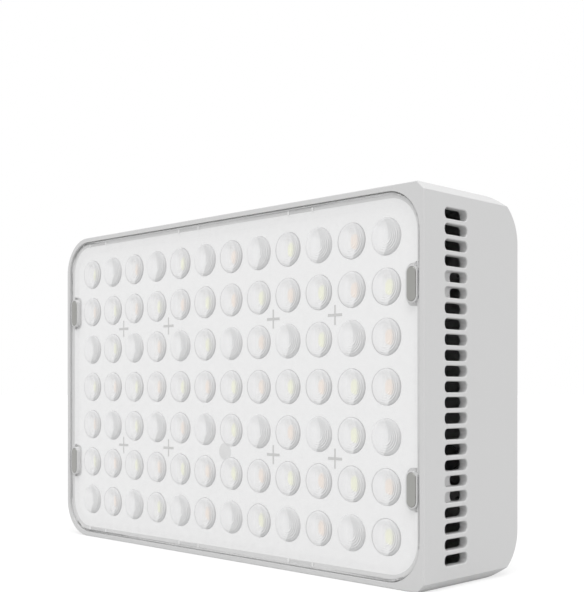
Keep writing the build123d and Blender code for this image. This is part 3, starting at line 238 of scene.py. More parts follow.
def noise(tree, vector, scale, detail=2.0, roughness=0.5):
    """Noise texture on a vector; returns its factor."""
    node = tree.nodes.new("ShaderNodeTexNoise")
    tree.links.new(vector, node.inputs["Vector"])
    if isinstance(scale, bpy.types.NodeSocket):
        tree.links.new(scale, node.inputs["Scale"])
    else:
        node.inputs["Scale"].default_value = scale
    node.inputs["Detail"].default_value = detail
    node.inputs["Roughness"].default_value = roughness
    return node.outputs[0]


def vector_node(tree, operation, first, second=None):
    """Vector maths node on links; returns the node."""
    node = tree.nodes.new("ShaderNodeVectorMath")
    node.operation = operation
    tree.links.new(first, node.inputs[0])
    if second is not None:
        tree.links.new(second, node.inputs["Scale" if operation == "SCALE" else 1])
    return node


def put_out_surface(group, given, result, swing, height, roughness_drift):
    """Colour and roughness that drift with a swing round 0, and a height."""
    tone = math_node(group, "MULTIPLY_ADD", swing, given.outputs["Tone drift"], 1.0)
    drifting = vector_node(group, "SCALE", given.outputs["Color"], tone)
    group.links.new(drifting.outputs[0], result.inputs["Color"])
    rough = math_node(group, "MULTIPLY_ADD", swing, roughness_drift, given.outputs["Roughness"])
    group.links.new(rough, result.inputs["Roughness"])
    group.links.new(height, result.inputs["Height"])


def make_grain_group():
    """Fine moulded or blasted texture with a slow drift of tone."""
    group, given, result = node_group(
        "surface_grain",
        (
            ("Color", "NodeSocketColor", (0.5, 0.5, 0.5, 1)),
            ("Grains per metre", "NodeSocketFloat", 5000),
            ("Tone drift", "NodeSocketFloat", 0.02),
            ("Roughness", "NodeSocketFloat", 0.5),
            ("Roughness drift", "NodeSocketFloat", 0.05),
        ),
        SURFACE_OUTPUTS,
    )
    place = group.nodes.new("ShaderNodeTexCoord").outputs["Object"]
    fine = noise(group, place, given.outputs["Grains per metre"], 2.0, 0.6)
    coarse = math_node(group, "MULTIPLY", given.outputs["Grains per metre"], 0.012)
    slow = noise(group, place, coarse, 3.0)
    fine_share = math_node(group, "MULTIPLY", fine, 0.4)
    both = math_node(group, "ADD", fine_share, math_node(group, "MULTIPLY", slow, 0.6))
    swing = math_node(group, "SUBTRACT", both, 0.5)
    put_out_surface(group, given, result, swing, fine, given.outputs["Roughness drift"])


def make_brushed_group():
    """Fine parallel scratches along one direction."""
    group, given, result = node_group(
        "brushed_metal",
        (
            ("Color", "NodeSocketColor", (0.5, 0.5, 0.5, 1)),
            ("Stretch", "NodeSocketVector", (1.0, 1.0, 0.04)),
            ("Lines per metre", "NodeSocketFloat", 9000),
            ("Tone drift", "NodeSocketFloat", 0.2),
            ("Roughness", "NodeSocketFloat", 0.35),
        ),
        SURFACE_OUTPUTS,
    )
    place = group.nodes.new("ShaderNodeTexCoord").outputs["Object"]
    stretched = vector_node(group, "MULTIPLY", place, given.outputs["Stretch"])
    lines = noise(group, stretched.outputs[0], given.outputs["Lines per metre"], 3.0, 0.7)
    swing = math_node(group, "SUBTRACT", lines, 0.5)
    put_out_surface(group, given, result, swing, lines, 0.2)


def make_lens_group():
    """Masks over one lens, from the place on it that each vertex keeps."""
    group, given, result = node_group(
        "lens_rings",
        (
            ("Radius", "NodeSocketFloat", 3.575 * MM),
            ("Outline", "NodeSocketFloat", 0.12 * MM),
            ("Ring pitch", "NodeSocketFloat", 0.46 * MM),
            ("Flank start", "NodeSocketFloat", 0.5),
        ),
        (
            ("Cloud", "NodeSocketFloat"),
            ("Flank", "NodeSocketFloat"),
            ("Outline", "NodeSocketFloat"),
            ("Ripple", "NodeSocketFloat"),
            ("Crest", "NodeSocketFloat"),
        ),
    )
    own = group.nodes.new("ShaderNodeAttribute")
    own.attribute_name = "lens_place"
    place = vector_node(group, "DIVIDE", own.outputs["Vector"], given.outputs["Radius"]).outputs[0]
    radius = vector_node(group, "LENGTH", place).outputs["Value"]
    axes = group.nodes.new("ShaderNodeSeparateXYZ")
    group.links.new(place, axes.inputs[0])
    across, up = axes.outputs["X"], axes.outputs["Z"]

    def calc(operation, *values):
        return math_node(group, operation, *values)

    def ramp(value, low, high, to_low=0.0, to_high=1.0):
        return map_range(group, value, low, high, to_low, to_high)

    def put_out(value, label):
        group.links.new(value, result.inputs[label])

    # From here on, lengths are shares of the lens's radius
    # Painted shade: the flank on the +X side of every lens is painted as a grey crescent, deepest low down,
    # whose inner edge bows away from the middle; the top and the rim get painted shade too
    bow = calc("MULTIPLY", calc("MULTIPLY", up, up), FLANK_BOW)
    past = calc("SUBTRACT", calc("ADD", across, bow), given.outputs["Flank start"])
    crescent = ramp(past, -FLANK_BLUR, FLANK_BLUR)
    deep = ramp(calc("SUBTRACT", across, up), 0.1, 1.2, 0.72, 1.0)
    top = ramp(calc("MULTIPLY_ADD", across, 0.25, up), 0.20, 0.95, 0.0, 0.48)
    flank = calc("MAXIMUM", calc("MULTIPLY", crescent, deep), top)
    edge = ramp(calc("MULTIPLY_ADD", across, 0.06, radius), 0.93, 1.02)
    put_out(calc("MAXIMUM", flank, edge), "Flank")
    # Clear over the light source, cloudy elsewhere
    clear = calc("MULTIPLY", ramp(across, -0.22, 0.18), ramp(radius, 0.50, 0.78, 1.0, 0.0))
    cloud = calc("SUBTRACT", 1.0, clear)
    put_out(calc("MAXIMUM", cloud, calc("MULTIPLY", crescent, FLANK_CLOUD)), "Cloud")
    # A line round the rim, further in on the side that turns away
    line = calc("SUBTRACT", 1.0, calc("DIVIDE", given.outputs["Outline"], given.outputs["Radius"]))
    inward = calc("MULTIPLY_ADD", calc("MINIMUM", across, 0.0), -OUTLINE_SHIFT, radius)
    put_out(ramp(inward, line, 1.0), "Outline")
    # The moulded rings show low on the flank and are broken up round each lens
    pitch = calc("DIVIDE", given.outputs["Radius"], given.outputs["Ring pitch"])
    wave = calc("SINE", calc("MULTIPLY", calc("MULTIPLY", radius, pitch), 2 * math.pi))
    fade = calc("MULTIPLY", ramp(radius, 0.34, 0.46), ramp(radius, 0.86, 0.96, 1.0, 0.0))
    patchy = ramp(noise(group, place, 1.5, 1.0), 0.40, 0.62, 0.25, 1.0)
    low = ramp(calc("MULTIPLY_ADD", up, -0.8, across), 0.12, 0.62)
    broken = calc("MULTIPLY", calc("MULTIPLY", fade, patchy), low)
    put_out(calc("MULTIPLY", wave, broken), "Ripple")
    # Painted highlight: fine bright arcs at the inner edge of the flank
    away = calc("ABSOLUTE", calc("SUBTRACT", radius, CREST_RADIUS))
    crest = ramp(away, 0.015, 0.05, 1.0, 0.0)
    turn = ramp(calc("MULTIPLY_ADD", up, -0.5, across), 0.10, 0.32)
    put_out(calc("MULTIPLY", calc("MULTIPLY", crest, patchy), turn), "Crest")


# --- Materials ---------------------------------------------------------------------------------------


def principled(name, **values):
    """New material whose shader has these constant socket values; underscores stand for spaces."""
    material = bpy.data.materials.new(name)
    material.use_nodes = True
    shader = material.node_tree.nodes["Principled BSDF"]
    for label, value in values.items():
        shader.inputs[label.replace("_", " ")].default_value = value
    return material, material.node_tree, shader


def place_group(tree, group, **values):
    """Node group placed in a material, with its own values."""
    node = tree.nodes.new("ShaderNodeGroup")
    node.node_tree = group
    for label, value in values.items():
        socket = node.inputs[label.replace("_", " ")]
        socket.default_value = (*value, 1) if socket.type == "RGBA" else value
    return node


def bump(tree, shader, height, distance):
    """Bump of a height on the shader's normal."""
    node = tree.nodes.new("ShaderNodeBump")
    node.inputs["Distance"].default_value = distance
    tree.links.new(height, node.inputs["Height"])
    tree.links.new(node.outputs[0], shader.inputs["Normal"])


def surface(tree, shader, group, **values):
    """Surface group on a shader's colour and roughness; returns its height."""
    node = place_group(tree, bpy.data.node_groups[group], **values)
    tree.links.new(node.outputs["Color"], shader.inputs["Base Color"])
    tree.links.new(node.outputs["Roughness"], shader.inputs["Roughness"])
    return node.outputs["Height"]


def grained(name, tone, grains=5000, drift=0.03, roughness=0.5, relief=0.01 * MM, **values):
    """Material with fine grain: moulded plastic, rubber, ceramic or blasted metal."""
    material, tree, shader = principled(name, **values)
    height = surface(
        tree, shader, "surface_grain", Color=tone, Grains_per_metre=grains, Tone_drift=drift,
        Roughness=roughness,
    )
    bump(tree, shader, height, relief)
    return material


def brushed(name, tone, stretch, lines=9000, drift=0.2, roughness=0.35, relief=0.004 * MM, **values):
    """Material with fine parallel scratches."""
    material, tree, shader = principled(name, **values)
    height = surface(
        tree, shader, "brushed_metal", Color=tone, Stretch=stretch, Lines_per_metre=lines,
        Tone_drift=drift, Roughness=roughness,
    )
    bump(tree, shader, height, relief)
    return material


def finish_nodes(material, *names):
    """Give CAD nodes a material."""
    for name in names:
        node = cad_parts[name]
        node.data.materials.clear()
        node.data.materials.append(material)


# --- Mesh helpers ------------------------------------------------------------------------------------


def add_piece(name, vertices, faces, body, smooth=False):
    """Mesh object in the model's frame that rides on a CAD body."""
    mesh = bpy.data.meshes.new(name)
    mesh.from_pydata([tuple(v) for v in vertices], [], faces)
    mesh.validate()
    mesh.update()
    if smooth:
        mesh.shade_smooth()
    piece = bpy.data.objects.new(name, mesh)
    bpy.context.scene.collection.objects.link(piece)
    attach(piece, body)
    return piece


def chip_centres(node):
    """Centres, in X and Z, of the separate light sources in one CAD node."""
    groups = []
    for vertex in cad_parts[node].data.vertices:
        x, z = vertex.co.x, vertex.co.z
        for group in groups:
            if abs(group[0][0] - x) < SOURCE_REACH and abs(group[0][1] - z) < SOURCE_REACH:
                group.append((x, z))
                break
        else:
            groups.append([(x, z)])
    return [
        ((min(p[0] for p in g) + max(p[0] for p in g)) / 2, (min(p[1] for p in g) + max(p[1] for p in g)) / 2)
        for g in groups
    ]


def ring_faces(rows, count, first=0):
    """Quads between rows of count points that run round a ring, wound to face -Y."""
    return [
        (
            first + row * count + step,
            first + row * count + (step + 1) % count,
            first + (row + 1) * count + (step + 1) % count,
            first + (row + 1) * count + step,
        )
        for row in range(rows - 1)
        for step in range(count)
    ]


def outlined_slab(vertices, faces, outline, front, back, edge):
    """Thin slab with a chamfered front edge on a closed outline of X and Z points."""
    middle_x = sum(p[0] for p in outline) / len(outline)
    middle_z = sum(p[1] for p in outline) / len(outline)
    first = len(vertices)
    count = len(outline)
    for y, inset in ((back, 0.0), (front + edge, 0.0), (front, edge)):
        for x, z in outline:
            reach = math.hypot(x - middle_x, z - middle_z)
            pull = (reach - inset) / reach
            vertices.append((middle_x + (x - middle_x) * pull, y, middle_z + (z - middle_z) * pull))
    faces += ring_faces(3, count, first)
    faces.append(tuple(first + 2 * count + step for step in range(count)))
    faces.append(tuple(first + step for step in reversed(range(count))))


def rounded_outline(centre, size, corner, steps=5):
    """Points of a rounded rectangle in X and Z, counter-clockwise seen from the front."""
    points = []
    for quarter, (sx, sz) in enumerate(((1, -1), (1, 1), (-1, 1), (-1, -1))):
        cx = centre[0] + sx * (size[0] / 2 - corner)
        cz = centre[1] + sz * (size[1] / 2 - corner)
        start = (quarter - 1) * math.pi / 2
        for step in range(steps + 1):
            angle = start + step / steps * math.pi / 2
            points.append((cx + corner * math.cos(angle), cz + corner * math.sin(angle)))
    return points


def border_outline(insets, corner):
    """Outline inset, in mm, from the body's left, right, bottom and top, with points at the notches."""
    left, right, bottom, top = (inset * MM for inset in insets)
    (low_x, _, low_z), (high_x, _, high_z) = CAD_BOX
    centre = ((low_x + left + high_x - right) / 2, (low_z + bottom + high_z - top) / 2)
    size = (high_x - right - low_x - left, high_z - top - low_z - bottom)
    points = rounded_outline(centre, size, corner * MM, 8)
    levels = sorted({z + reach for _, z in MAGNET_CENTRES for reach in (-NOTCH_REACH, NOTCH_REACH)})
    divided = []
    for first, second in zip(points, points[1:] + points[:1]):
        divided.append(first)
        # Only the two straight sides are this long
        if abs(second[1] - first[1]) > 10 * NOTCH_REACH:
            divided += [(first[0], z) for z in (levels if second[1] > first[1] else reversed(levels))]
    return divided


def clear_of_notches(outline):
    """For each step along an outline, whether it stays clear of the magnets' notches."""
    middles = [((a[0] + b[0]) / 2, (a[1] + b[1]) / 2) for a, b in zip(outline, outline[1:] + outline[:1])]
    return [
        all(abs(x - mx) > NOTCH_REACH or abs(z - mz) > NOTCH_REACH / 2 for mx, mz in MAGNET_CENTRES)
        for x, z in middles
    ]


def flat_ring(vertices, faces, outer, inner, front, back, foot=None, kept=None):
    """Flat ring between two outlines with the same number of points; its inner side may slope to a foot."""
    first, count = len(vertices), len(outer)
    for outline, y in ((outer, back), (outer, front), (inner, front), (foot or inner, back), (outer, back)):
        vertices += [(x, y, z) for x, z in outline]
    ring = ring_faces(5, count, first)
    faces += [face for n, face in enumerate(ring) if kept is None or kept[n % count]]


# --- Operators: finishes and pieces ------------------------------------------------------------------


class PANELLIGHT_OT_body(bpy.types.Operator):
    """Moulded finish of the housing and the rear cover"""

    bl_idname = "panellight.body"
    bl_label = "Finish Housing"

    def execute(self, context):
        finish = context.scene.panellight_finish
        finish_nodes(grained("moulded_body", finish.body, 6500, 0.02, 0.55, 0.006 * MM), "housing")
        finish_nodes(grained("moulded_rear", finish.rear, 6500, 0.02, 0.6, 0.006 * MM), "rear_cover")
        return {"FINISHED"}


class PANELLIGHT_OT_cover(bpy.types.Operator):
    """Clear front cover and the gasket behind it"""

    bl_idname = "panellight.cover"
    bl_label = "Finish Front Cover"

    def execute(self, context):
        material, tree, shader = principled("clear_cover", Base_Color=(0.9, 0.9, 0.9, 1), IOR=1.5)
        surface(
            tree, shader, "surface_grain", Color=(0.9, 0.9, 0.9), Grains_per_metre=9000, Tone_drift=0.02,
            Roughness=0.12, Roughness_drift=0.1,
        )
        # A clear plate: a little haze seen straight on; at a slant more of the pale plate shows, a painted
        # reflection beside the shader's own gloss
        place = tree.nodes.new("ShaderNodeTexCoord").outputs["Object"]
        haze = map_range(tree, noise(tree, place, 260.0, 3.0), 0.35, 0.75, 0.02, 0.07)
        slant = tree.nodes.new("ShaderNodeLayerWeight").outputs["Facing"]
        painted_reflection = math_node(tree, "POWER", slant, 5.0)
        tree.links.new(math_node(tree, "ADD", painted_reflection, haze, clamp=True), shader.inputs["Alpha"])
        finish_nodes(material, "front_cover")
        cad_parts["front_cover"].visible_shadow = False
        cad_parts["front_cover"].visible_diffuse = False
        finish = context.scene.panellight_finish
        finish_nodes(grained("gasket_foam", finish.gasket, 9000, 0.06, 0.9, 0.02 * MM), "cover_gasket")
        self.border(finish)
        self.clip_seats(finish)
        return {"FINISHED"}

    def border(self, finish):
        """Ledge band and plate margin behind the cover's border, and the floors of the magnets' notches."""
        vertices, faces = [], []
        outer = border_outline((1.26, 1.26, 1.26, 1.26), 7.6)
        inner = border_outline((2.46, 2.06, 2.48, 2.32), 6.5)
        flat_ring(vertices, faces, outer, inner, FRONT_Y + 0.66 * MM, FRONT_Y + 1.09 * MM)
        band = add_piece("ledge_band", vertices, faces, LIGHT_BODY)
        band.data.materials.append(grained("ledge_grey", finish.band, 7000, 0.03, 0.6, 0.006 * MM))

        vertices, faces = [], []
        floor, foot = (3.1 * MM, 2 * NOTCH_REACH), (2.65 * MM, 7.0 * MM)  # round the notch and the magnet
        for x, z in MAGNET_CENTRES:
            towards_end = math.copysign(0.19 * MM, x)
            outer = rounded_outline((x - towards_end, z), floor, 1.1 * MM, 8)
            inner = rounded_outline((x, z), foot, 1.32 * MM, 8)
            flat_ring(vertices, faces, outer, inner, FRONT_Y + 1.18 * MM, FRONT_Y + 1.3 * MM)
        floors = add_piece("notch_floors", vertices, faces, LIGHT_BODY)
        floors.data.materials.append(grained("notch_grey", finish.clip, 7000, 0.03, 0.6, 0.006 * MM))

        vertices, faces = [], []
        outer = border_outline((1.9, 1.9, 1.9, 1.9), 6.95)
        inner = border_outline((2.52, 2.2, 2.54, 2.38), 6.4)
        foot = border_outline((3.5, 3.1, 3.7, 3.7), 5.6)
        margin_front, margin_back = FRONT_Y + 0.68 * MM, FRONT_Y + 1.14 * MM
        flat_ring(vertices, faces, outer, inner, margin_front, margin_back, foot, clear_of_notches(outer))
        margin = add_piece("plate_margin", vertices, faces, LIGHT_BODY)
        margin.data.materials.append(grained("margin_white", finish.tray, 5200, 0.02, 0.45, 0.004 * MM))
        # The faint slope is lit as the flat plate beside it
        margin.data.normals_split_custom_set([(0, -1, 0)] * len(margin.data.loops))

    def clip_seats(self, finish):
        """Seats that close the slots behind the cover's clips, with a pale rib at each end."""
        low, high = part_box("cover_gasket")
        seat_front, seat_depth = FRONT_Y + 0.62 * MM, 0.05 * MM
        rib_front, rib_depth = low.y + 0.02 * MM, 0.08 * MM
        inner, outer = 0.98 * MM, 0.12 * MM  # from the gasket's outer face
        half_length, half_rib, rib_over = 3.43 * MM, 0.2 * MM, 0.12 * MM
        corner, edge = 0.05 * MM, 0.02 * MM
        vertices, faces, kinds = [], [], []

        def slab(x, z, half_x, half_z, front, thick, kind):
            made = len(faces)
            outline = rounded_outline((x, z), (2 * half_x, 2 * half_z), corner, 1)
            outlined_slab(vertices, faces, outline, front, front + thick, edge)
            kinds.extend([kind] * (len(faces) - made))

        middle, half = (inner + outer) / 2, (inner - outer) / 2
        for side in (-1, 1):
            for x in CLIP_CENTRES:
                z = MID_Z + side * (high.z - MID_Z - middle)
                slab(x, z, half_length, half, seat_front, seat_depth, 0)
                for end in (-1, 1):
                    slab(x + end * half_length, z, half_rib, half + rib_over, rib_front, rib_depth, 1)
        seats = add_piece("clip_seats", vertices, faces, LIGHT_BODY)
        seats.data.materials.append(grained("clip_seat_grey", finish.clip, 7000, 0.05, 0.6, 0.01 * MM))
        seats.data.materials.append(
            grained("clip_rib_white", (0.85, 0.85, 0.85), 7000, 0.03, 0.5, 0.006 * MM)
        )
        seats.data.polygons.foreach_set("material_index", kinds)


class PANELLIGHT_OT_magnets(bpy.types.Operator):
    """Nickel-plated pill magnets, brushed along their length"""

    bl_idname = "panellight.magnets"
    bl_label = "Build Magnets"

    def execute(self, context):
        low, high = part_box("accessory_magnets")
        points = [(v.co.x, v.co.z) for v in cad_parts["accessory_magnets"].data.vertices]
        vertices, faces = [], []
        for side in (-1, 1):
            for level in (-1, 1):
                own = [(x, z) for x, z in points if x * side > 0 and (z - MID_Z) * level > 0]
                xs, zs = [p[0] for p in own], [p[1] for p in own]
                size = (max(xs) - min(xs), max(zs) - min(zs))
                centre = ((max(xs) + min(xs)) / 2, (max(zs) + min(zs)) / 2)
                outline = rounded_outline(centre, size, size[0] / 2 - MAGNET_TIP, 10)
                outlined_slab(vertices, faces, outline, low.y, high.y, MAGNET_EDGE)
        pills = add_piece("magnet_pills", vertices, faces, LIGHT_BODY)
        tone = context.scene.panellight_finish.magnet
        pills.data.materials.append(
            brushed("magnet_nickel", tone, (1, 1, 0.05), 9000, 0.16, 0.38, Metallic=0.85)
        )
        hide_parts("accessory_magnets")
        return {"FINISHED"}


class PANELLIGHT_OT_tray(bpy.types.Operator):
    """White plate with its crosses and its gate mark"""

    bl_idname = "panellight.tray"
    bl_label = "Finish Plate"

    def execute(self, context):
        finish = context.scene.panellight_finish
        plate = grained("moulded_plate", finish.tray, 5200, 0.02, 0.45, 0.004 * MM)
        finish_nodes(plate, "lens_tray")
        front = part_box("lens_tray")[0].y
        thick = 0.03 * MM
        centres = [centre for node in CHIP_NODES for centre in chip_centres(node)]
        columns = sorted({round(x / MM, 2) for x, _ in centres})
        rows = sorted({round(z / MM, 2) for _, z in centres}, reverse=True)
        self.crosses(finish, columns, rows, front, thick)
        vertices, faces = [], []
        gate_x = (columns[5] + 0.76 * (columns[6] - columns[5])) * MM
        gate_z = (rows[4] + rows[5]) / 2 * MM
        gate_wide = 3.9 * MM
        outline = rounded_outline((gate_x, gate_z), (gate_wide, gate_wide), gate_wide / 2 - 0.01 * MM, 8)
        outlined_slab(vertices, faces, outline, front - thick, front, thick / 2)
        gate = add_piece("plate_gate_mark", vertices, faces, LIGHT_BODY)
        gate.data.materials.append(grained("gate_mark_grey", (0.74, 0.74, 0.74), 5200, 0.04, 0.5, 0.004 * MM))
        return {"FINISHED"}

    def crosses(self, finish, columns, rows, front, thick):
        """Flat crosses between four lenses each."""
        vertices, faces = [], []
        arm_x, arm_z, wide, narrow = 1.9 * MM, 2.0 * MM, 0.28 * MM, 0.2 * MM
        corners = (
            (arm_x, -wide), (arm_x, wide), (narrow, wide), (narrow, arm_z), (-narrow, arm_z),
            (-narrow, wide), (-arm_x, wide), (-arm_x, -wide), (-narrow, -wide), (-narrow, -arm_z),
            (narrow, -arm_z), (narrow, -wide),
        )
        count = len(corners)
        for column in (1, 3, 7, 9):
            for row in (1, 4):
                x = (columns[column] + columns[column + 1]) / 2 * MM
                z = (rows[row] + rows[row + 1]) / 2 * MM
                first = len(vertices)
                for y in (front, front - thick):
                    vertices += [(x + dx, y, z + dz) for dx, dz in corners]
                faces += ring_faces(2, count, first)
                faces.append(tuple(first + count + step for step in range(count)))
        crosses = add_piece("plate_crosses", vertices, faces, LIGHT_BODY)
        crosses.data.materials.append(grained("cross_grey", finish.mark, 9000, 0.1, 0.6, 0.01 * MM))


class PANELLIGHT_OT_lenses(bpy.types.Operator):
    """Domed lens in every hole of the plate"""

    bl_idname = "panellight.lenses"
    bl_label = "Build Lenses"

    def execute(self, context):
        settings = context.scene.panellight_lens
        plate_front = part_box("lens_tray")[0].y
        vertices, faces, places, kinds = [], [], [], []
        sources = [
            (centre, int(node == "led_chips_colour")) for node in CHIP_NODES for centre in chip_centres(node)
        ]
        count, rings = settings.segments, settings.rings
        skirt = plate_front + SKIRT_DEPTH
        for (x, z), kind in sources:
            first = len(vertices)
            made = len(faces)
            # A lens over a coloured source fills its hole; the others leave a fine gap
            radius = settings.radius + kind * HOLE_GAP
            rows = [(radius, skirt)]
            for ring in range(rings, 0, -1):
                reach = math.sin(math.pi / 2 * ring / rings)
                # A nearly flat top that falls away steeply at the rim
                crown = settings.rise * (0.85 * (1 - reach**14) ** 0.6 + 0.15 * (1 - reach**2))
                rows.append((radius * reach, plate_front - crown))
            for reach, y in rows:
                for step in range(count):
                    angle = 2 * math.pi * step / count
                    dx, dz = reach * math.cos(angle), reach * math.sin(angle)
                    vertices.append((x + dx, y, z + dz))
                    places.append((dx, 0, dz))
            faces += ring_faces(len(rows), count, first)
            vertices.append((x, plate_front - settings.rise, z))
            places.append((0, 0, 0))
            last = first + (len(rows) - 1) * count
            faces += [(last + step, last + (step + 1) % count, len(vertices) - 1) for step in range(count)]
            kinds += [kind] * (len(faces) - made)
        lenses = add_piece("lens_domes", vertices, faces, LIGHT_BODY, smooth=True)
        kept = lenses.data.attributes.new("lens_place", "FLOAT_VECTOR", "POINT")
        kept.data.foreach_set("vector", [value for place in places for value in place])
        # Per kind: outline strength, strength of the painted highlight arcs, where the painted flank shade
        # starts, and clearness
        for name, outline, crest, start, clearness in (
            ("lens_white_source", 0.5, 0.7, 0.54, 0.45),
            ("lens_colour_source", 0.08, 0.9, 0.27, 0.1),
        ):
            lenses.data.materials.append(self.lens_material(name, settings, outline, crest, start, clearness))
        lenses.data.polygons.foreach_set("material_index", kinds)
        lenses.visible_shadow = False
        lenses.visible_diffuse = False
        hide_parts("lens_array")
        return {"FINISHED"}

    def lens_material(self, name, settings, outline, crest, start, clearness):
        """Cloudy clear plastic with painted shade on one flank, an outline, and fine moulded rings with
        painted highlight and shade.
        """
        material, tree, shader = principled(name, Roughness=0.52, IOR=1.49)
        rings = place_group(
            tree, bpy.data.node_groups["lens_rings"], Radius=settings.radius, Ring_pitch=settings.ripple,
            Flank_start=start,
        )
        ripple = rings.outputs["Ripple"]
        # Painted shade: the flank mask greys the lens colour
        tone = mix_colour(tree, rings.outputs["Flank"], settings.clear, settings.rim)
        # Painted highlight: the rings' lit sides and the bright arcs near the crest of the dome are painted
        # lighter
        swing = math_node(tree, "MULTIPLY", ripple, 0.85)
        shine = math_node(tree, "MULTIPLY", rings.outputs["Crest"], crest)
        bright = math_node(tree, "MAXIMUM", swing, shine, clamp=True)
        tone = mix_colour(tree, bright, tone, settings.shine)
        # The outline is a dark line, and the rings' far sides get painted shade
        dark = math_node(tree, "MULTIPLY", ripple, -0.32, clamp=True)
        line = math_node(tree, "MULTIPLY", rings.outputs["Outline"], outline)
        line = math_node(tree, "MAXIMUM", line, dark)
        tree.links.new(mix_colour(tree, line, tone, settings.line), shader.inputs["Base Color"])
        cloud = math_node(tree, "MULTIPLY_ADD", rings.outputs["Cloud"], clearness, 0.95 - clearness)
        tree.links.new(math_node(tree, "MAXIMUM", cloud, shine, clamp=True), shader.inputs["Alpha"])
        bump(tree, shader, ripple, 0.03 * MM)
        return material


class PANELLIGHT_OT_sources(bpy.types.Operator):
    """Light sources: a ceramic package with a reflector and a phosphor window for each lens"""

    bl_idname = "panellight.sources"
    bl_label = "Build Light Sources"

    def execute(self, context):
        settings = context.scene.panellight_lens
        package = grained("ceramic_package", settings.package, 9000, 0.05, 0.5, 0.004 * MM)
        white, square = (2.8 * MM, 3.5 * MM), (3.4 * MM, 3.4 * MM)
        bowl, border = 6.8 * MM, 0.4 * MM  # across the reflector; of the package beside its window
        for node, slot, size, tone, name in (
            ("led_chips_cool", "phosphor_cool", white, settings.cool, "cool_sources"),
            ("led_chips_warm", "phosphor_warm", white, settings.warm, "warm_sources"),
            ("led_chips_colour", "led_package", square, (0.80, 0.80, 0.80), "colour_sources"),
        ):
            low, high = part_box(node)
            vertices, faces, kinds = [], [], []
            for centre in chip_centres(node):
                body = rounded_outline(centre, size, 0.2 * MM, 2)
                reflector = rounded_outline(centre, (bowl, bowl), bowl / 2 - 0.01 * MM, 6)
                window = rounded_outline(centre, [side - border for side in size], 1.15 * MM, 5)
                for outline, front, back, edge, kind in (
                    (body, low.y + 0.1 * MM, high.y, 0.05 * MM, 0),
                    (reflector, low.y + 0.03 * MM, low.y + 0.12 * MM, 0.02 * MM, 0),
                    (window, low.y, low.y + 0.15 * MM, 0.06 * MM, 1),
                ):
                    made = len(faces)
                    outlined_slab(vertices, faces, outline, front, back, edge)
                    kinds += [kind] * (len(faces) - made)
            piece = add_piece(name, vertices, faces, LIGHT_BODY)
            piece.data.materials.append(package)
            piece.data.materials.append(grained(name + "_window", tone, 12000, 0.12, 0.5, 0.004 * MM))
            piece.data.polygons.foreach_set("material_index", kinds)
            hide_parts(node)
        return {"FINISHED"}


class PANELLIGHT_OT_controls(bpy.types.Operator):
    """Knob, buttons, slider, screen window, rear screws, inlet and tripod thread"""

    bl_idname = "panellight.controls"
    bl_label = "Finish Controls"

    def execute(self, context):
        tone = context.scene.panellight_finish.control
        finish_nodes(
            grained("control_plastic", tone, 7000, 0.03, 0.5, 0.006 * MM),
            "button_mode", "button_preset", "button_wireless", "power_slider",
        )
        finish_nodes(
            brushed("knob_metal", tone, (1, 1, 0.05), 9000, 0.12, 0.38, Metallic=0.7), "control_knob"
        )
        finish_nodes(
            grained("window_black", (0.006, 0.006, 0.008), 3000, 0.2, 0.06, 0.0005 * MM, Coat_Weight=0.6),
            "screen_window",
        )
        finish_nodes(
            brushed("screw_steel", (0.42, 0.42, 0.42), (0.2, 1, 1), 12000, 0.2, 0.3, Metallic=1.0),
            "rear_cover_screws", "tray_screws", "engine_screws", "fan_screws", "carrier_screws",
            "inlet_screws",
        )
        finish_nodes(
            brushed("inlet_steel", (0.55, 0.55, 0.55), (0.1, 1, 1), 12000, 0.15, 0.28, Metallic=1.0),
            "usb_c_inlet",
        )
        finish_nodes(
            brushed("insert_brass", (0.66, 0.46, 0.20), (1, 1, 0.1), 12000, 0.15, 0.3, Metallic=1.0),
            "tripod_insert",
        )
        return {"FINISHED"}


class PANELLIGHT_OT_internals(bpy.types.Operator):
    """Light engine, fan, battery and electronics"""

    bl_idname = "panellight.internals"
    bl_label = "Finish Internals"

    def execute(self, context):
        tone = context.scene.panellight_finish.sink
        fine, dull = 0.004 * MM, 0.008 * MM
        for material, *nodes in (
            (grained("sink_black", tone, 8000, 0.3, 0.8, 0.006 * MM, Specular_IOR_Level=0.1), "heat_sink"),
            (grained("board_white", (0.80, 0.80, 0.79), 9000, 0.04, 0.45, fine), "led_board"),
            (
                grained("pad_grey", (0.35, 0.36, 0.38), 3000, 0.1, 0.8, 0.03 * MM),
                "thermal_pad", "battery_pads",
            ),
            (
                grained("fan_black", (0.008, 0.008, 0.009), 6000, 0.15, 0.6, dull, Specular_IOR_Level=0.2),
                "fan_frame", "fan_lid", "fan_rotor",
            ),
            (
                brushed("coil_copper", (0.60, 0.27, 0.12), (1, 0.1, 1), 8000, 0.3, 0.35, Metallic=1.0),
                "fan_stator",
            ),
            (
                brushed("cell_silver", (0.60, 0.61, 0.62), (1, 1, 0.1), 3000, 0.1, 0.4, Metallic=0.8),
                "battery_cells",
            ),
            (
                grained("holder_black", (0.01, 0.01, 0.011), 6000, 0.15, 0.6, dull, Specular_IOR_Level=0.2),
                "battery_holder",
            ),
            (
                grained("board_green", (0.02, 0.12, 0.06), 4000, 0.25, 0.35, 0.01 * MM),
                "main_board", "inlet_board",
            ),
            (
                grained("component_black", (0.02, 0.02, 0.02), 7000, 0.1, 0.45, 0.006 * MM),
                "driver_chips", "tact_switches", "power_switch", "encoder_plunger", "screen_module",
            ),
            (
                brushed("encoder_steel", (0.5, 0.5, 0.5), (1, 1, 0.1), 9000, 0.15, 0.35, Metallic=1.0),
                "encoder_body", "encoder_shaft",
            ),
        ):
            finish_nodes(material, *nodes)
        return {"FINISHED"}


# --- Operator: stage ---------------------------------------------------------------------------------


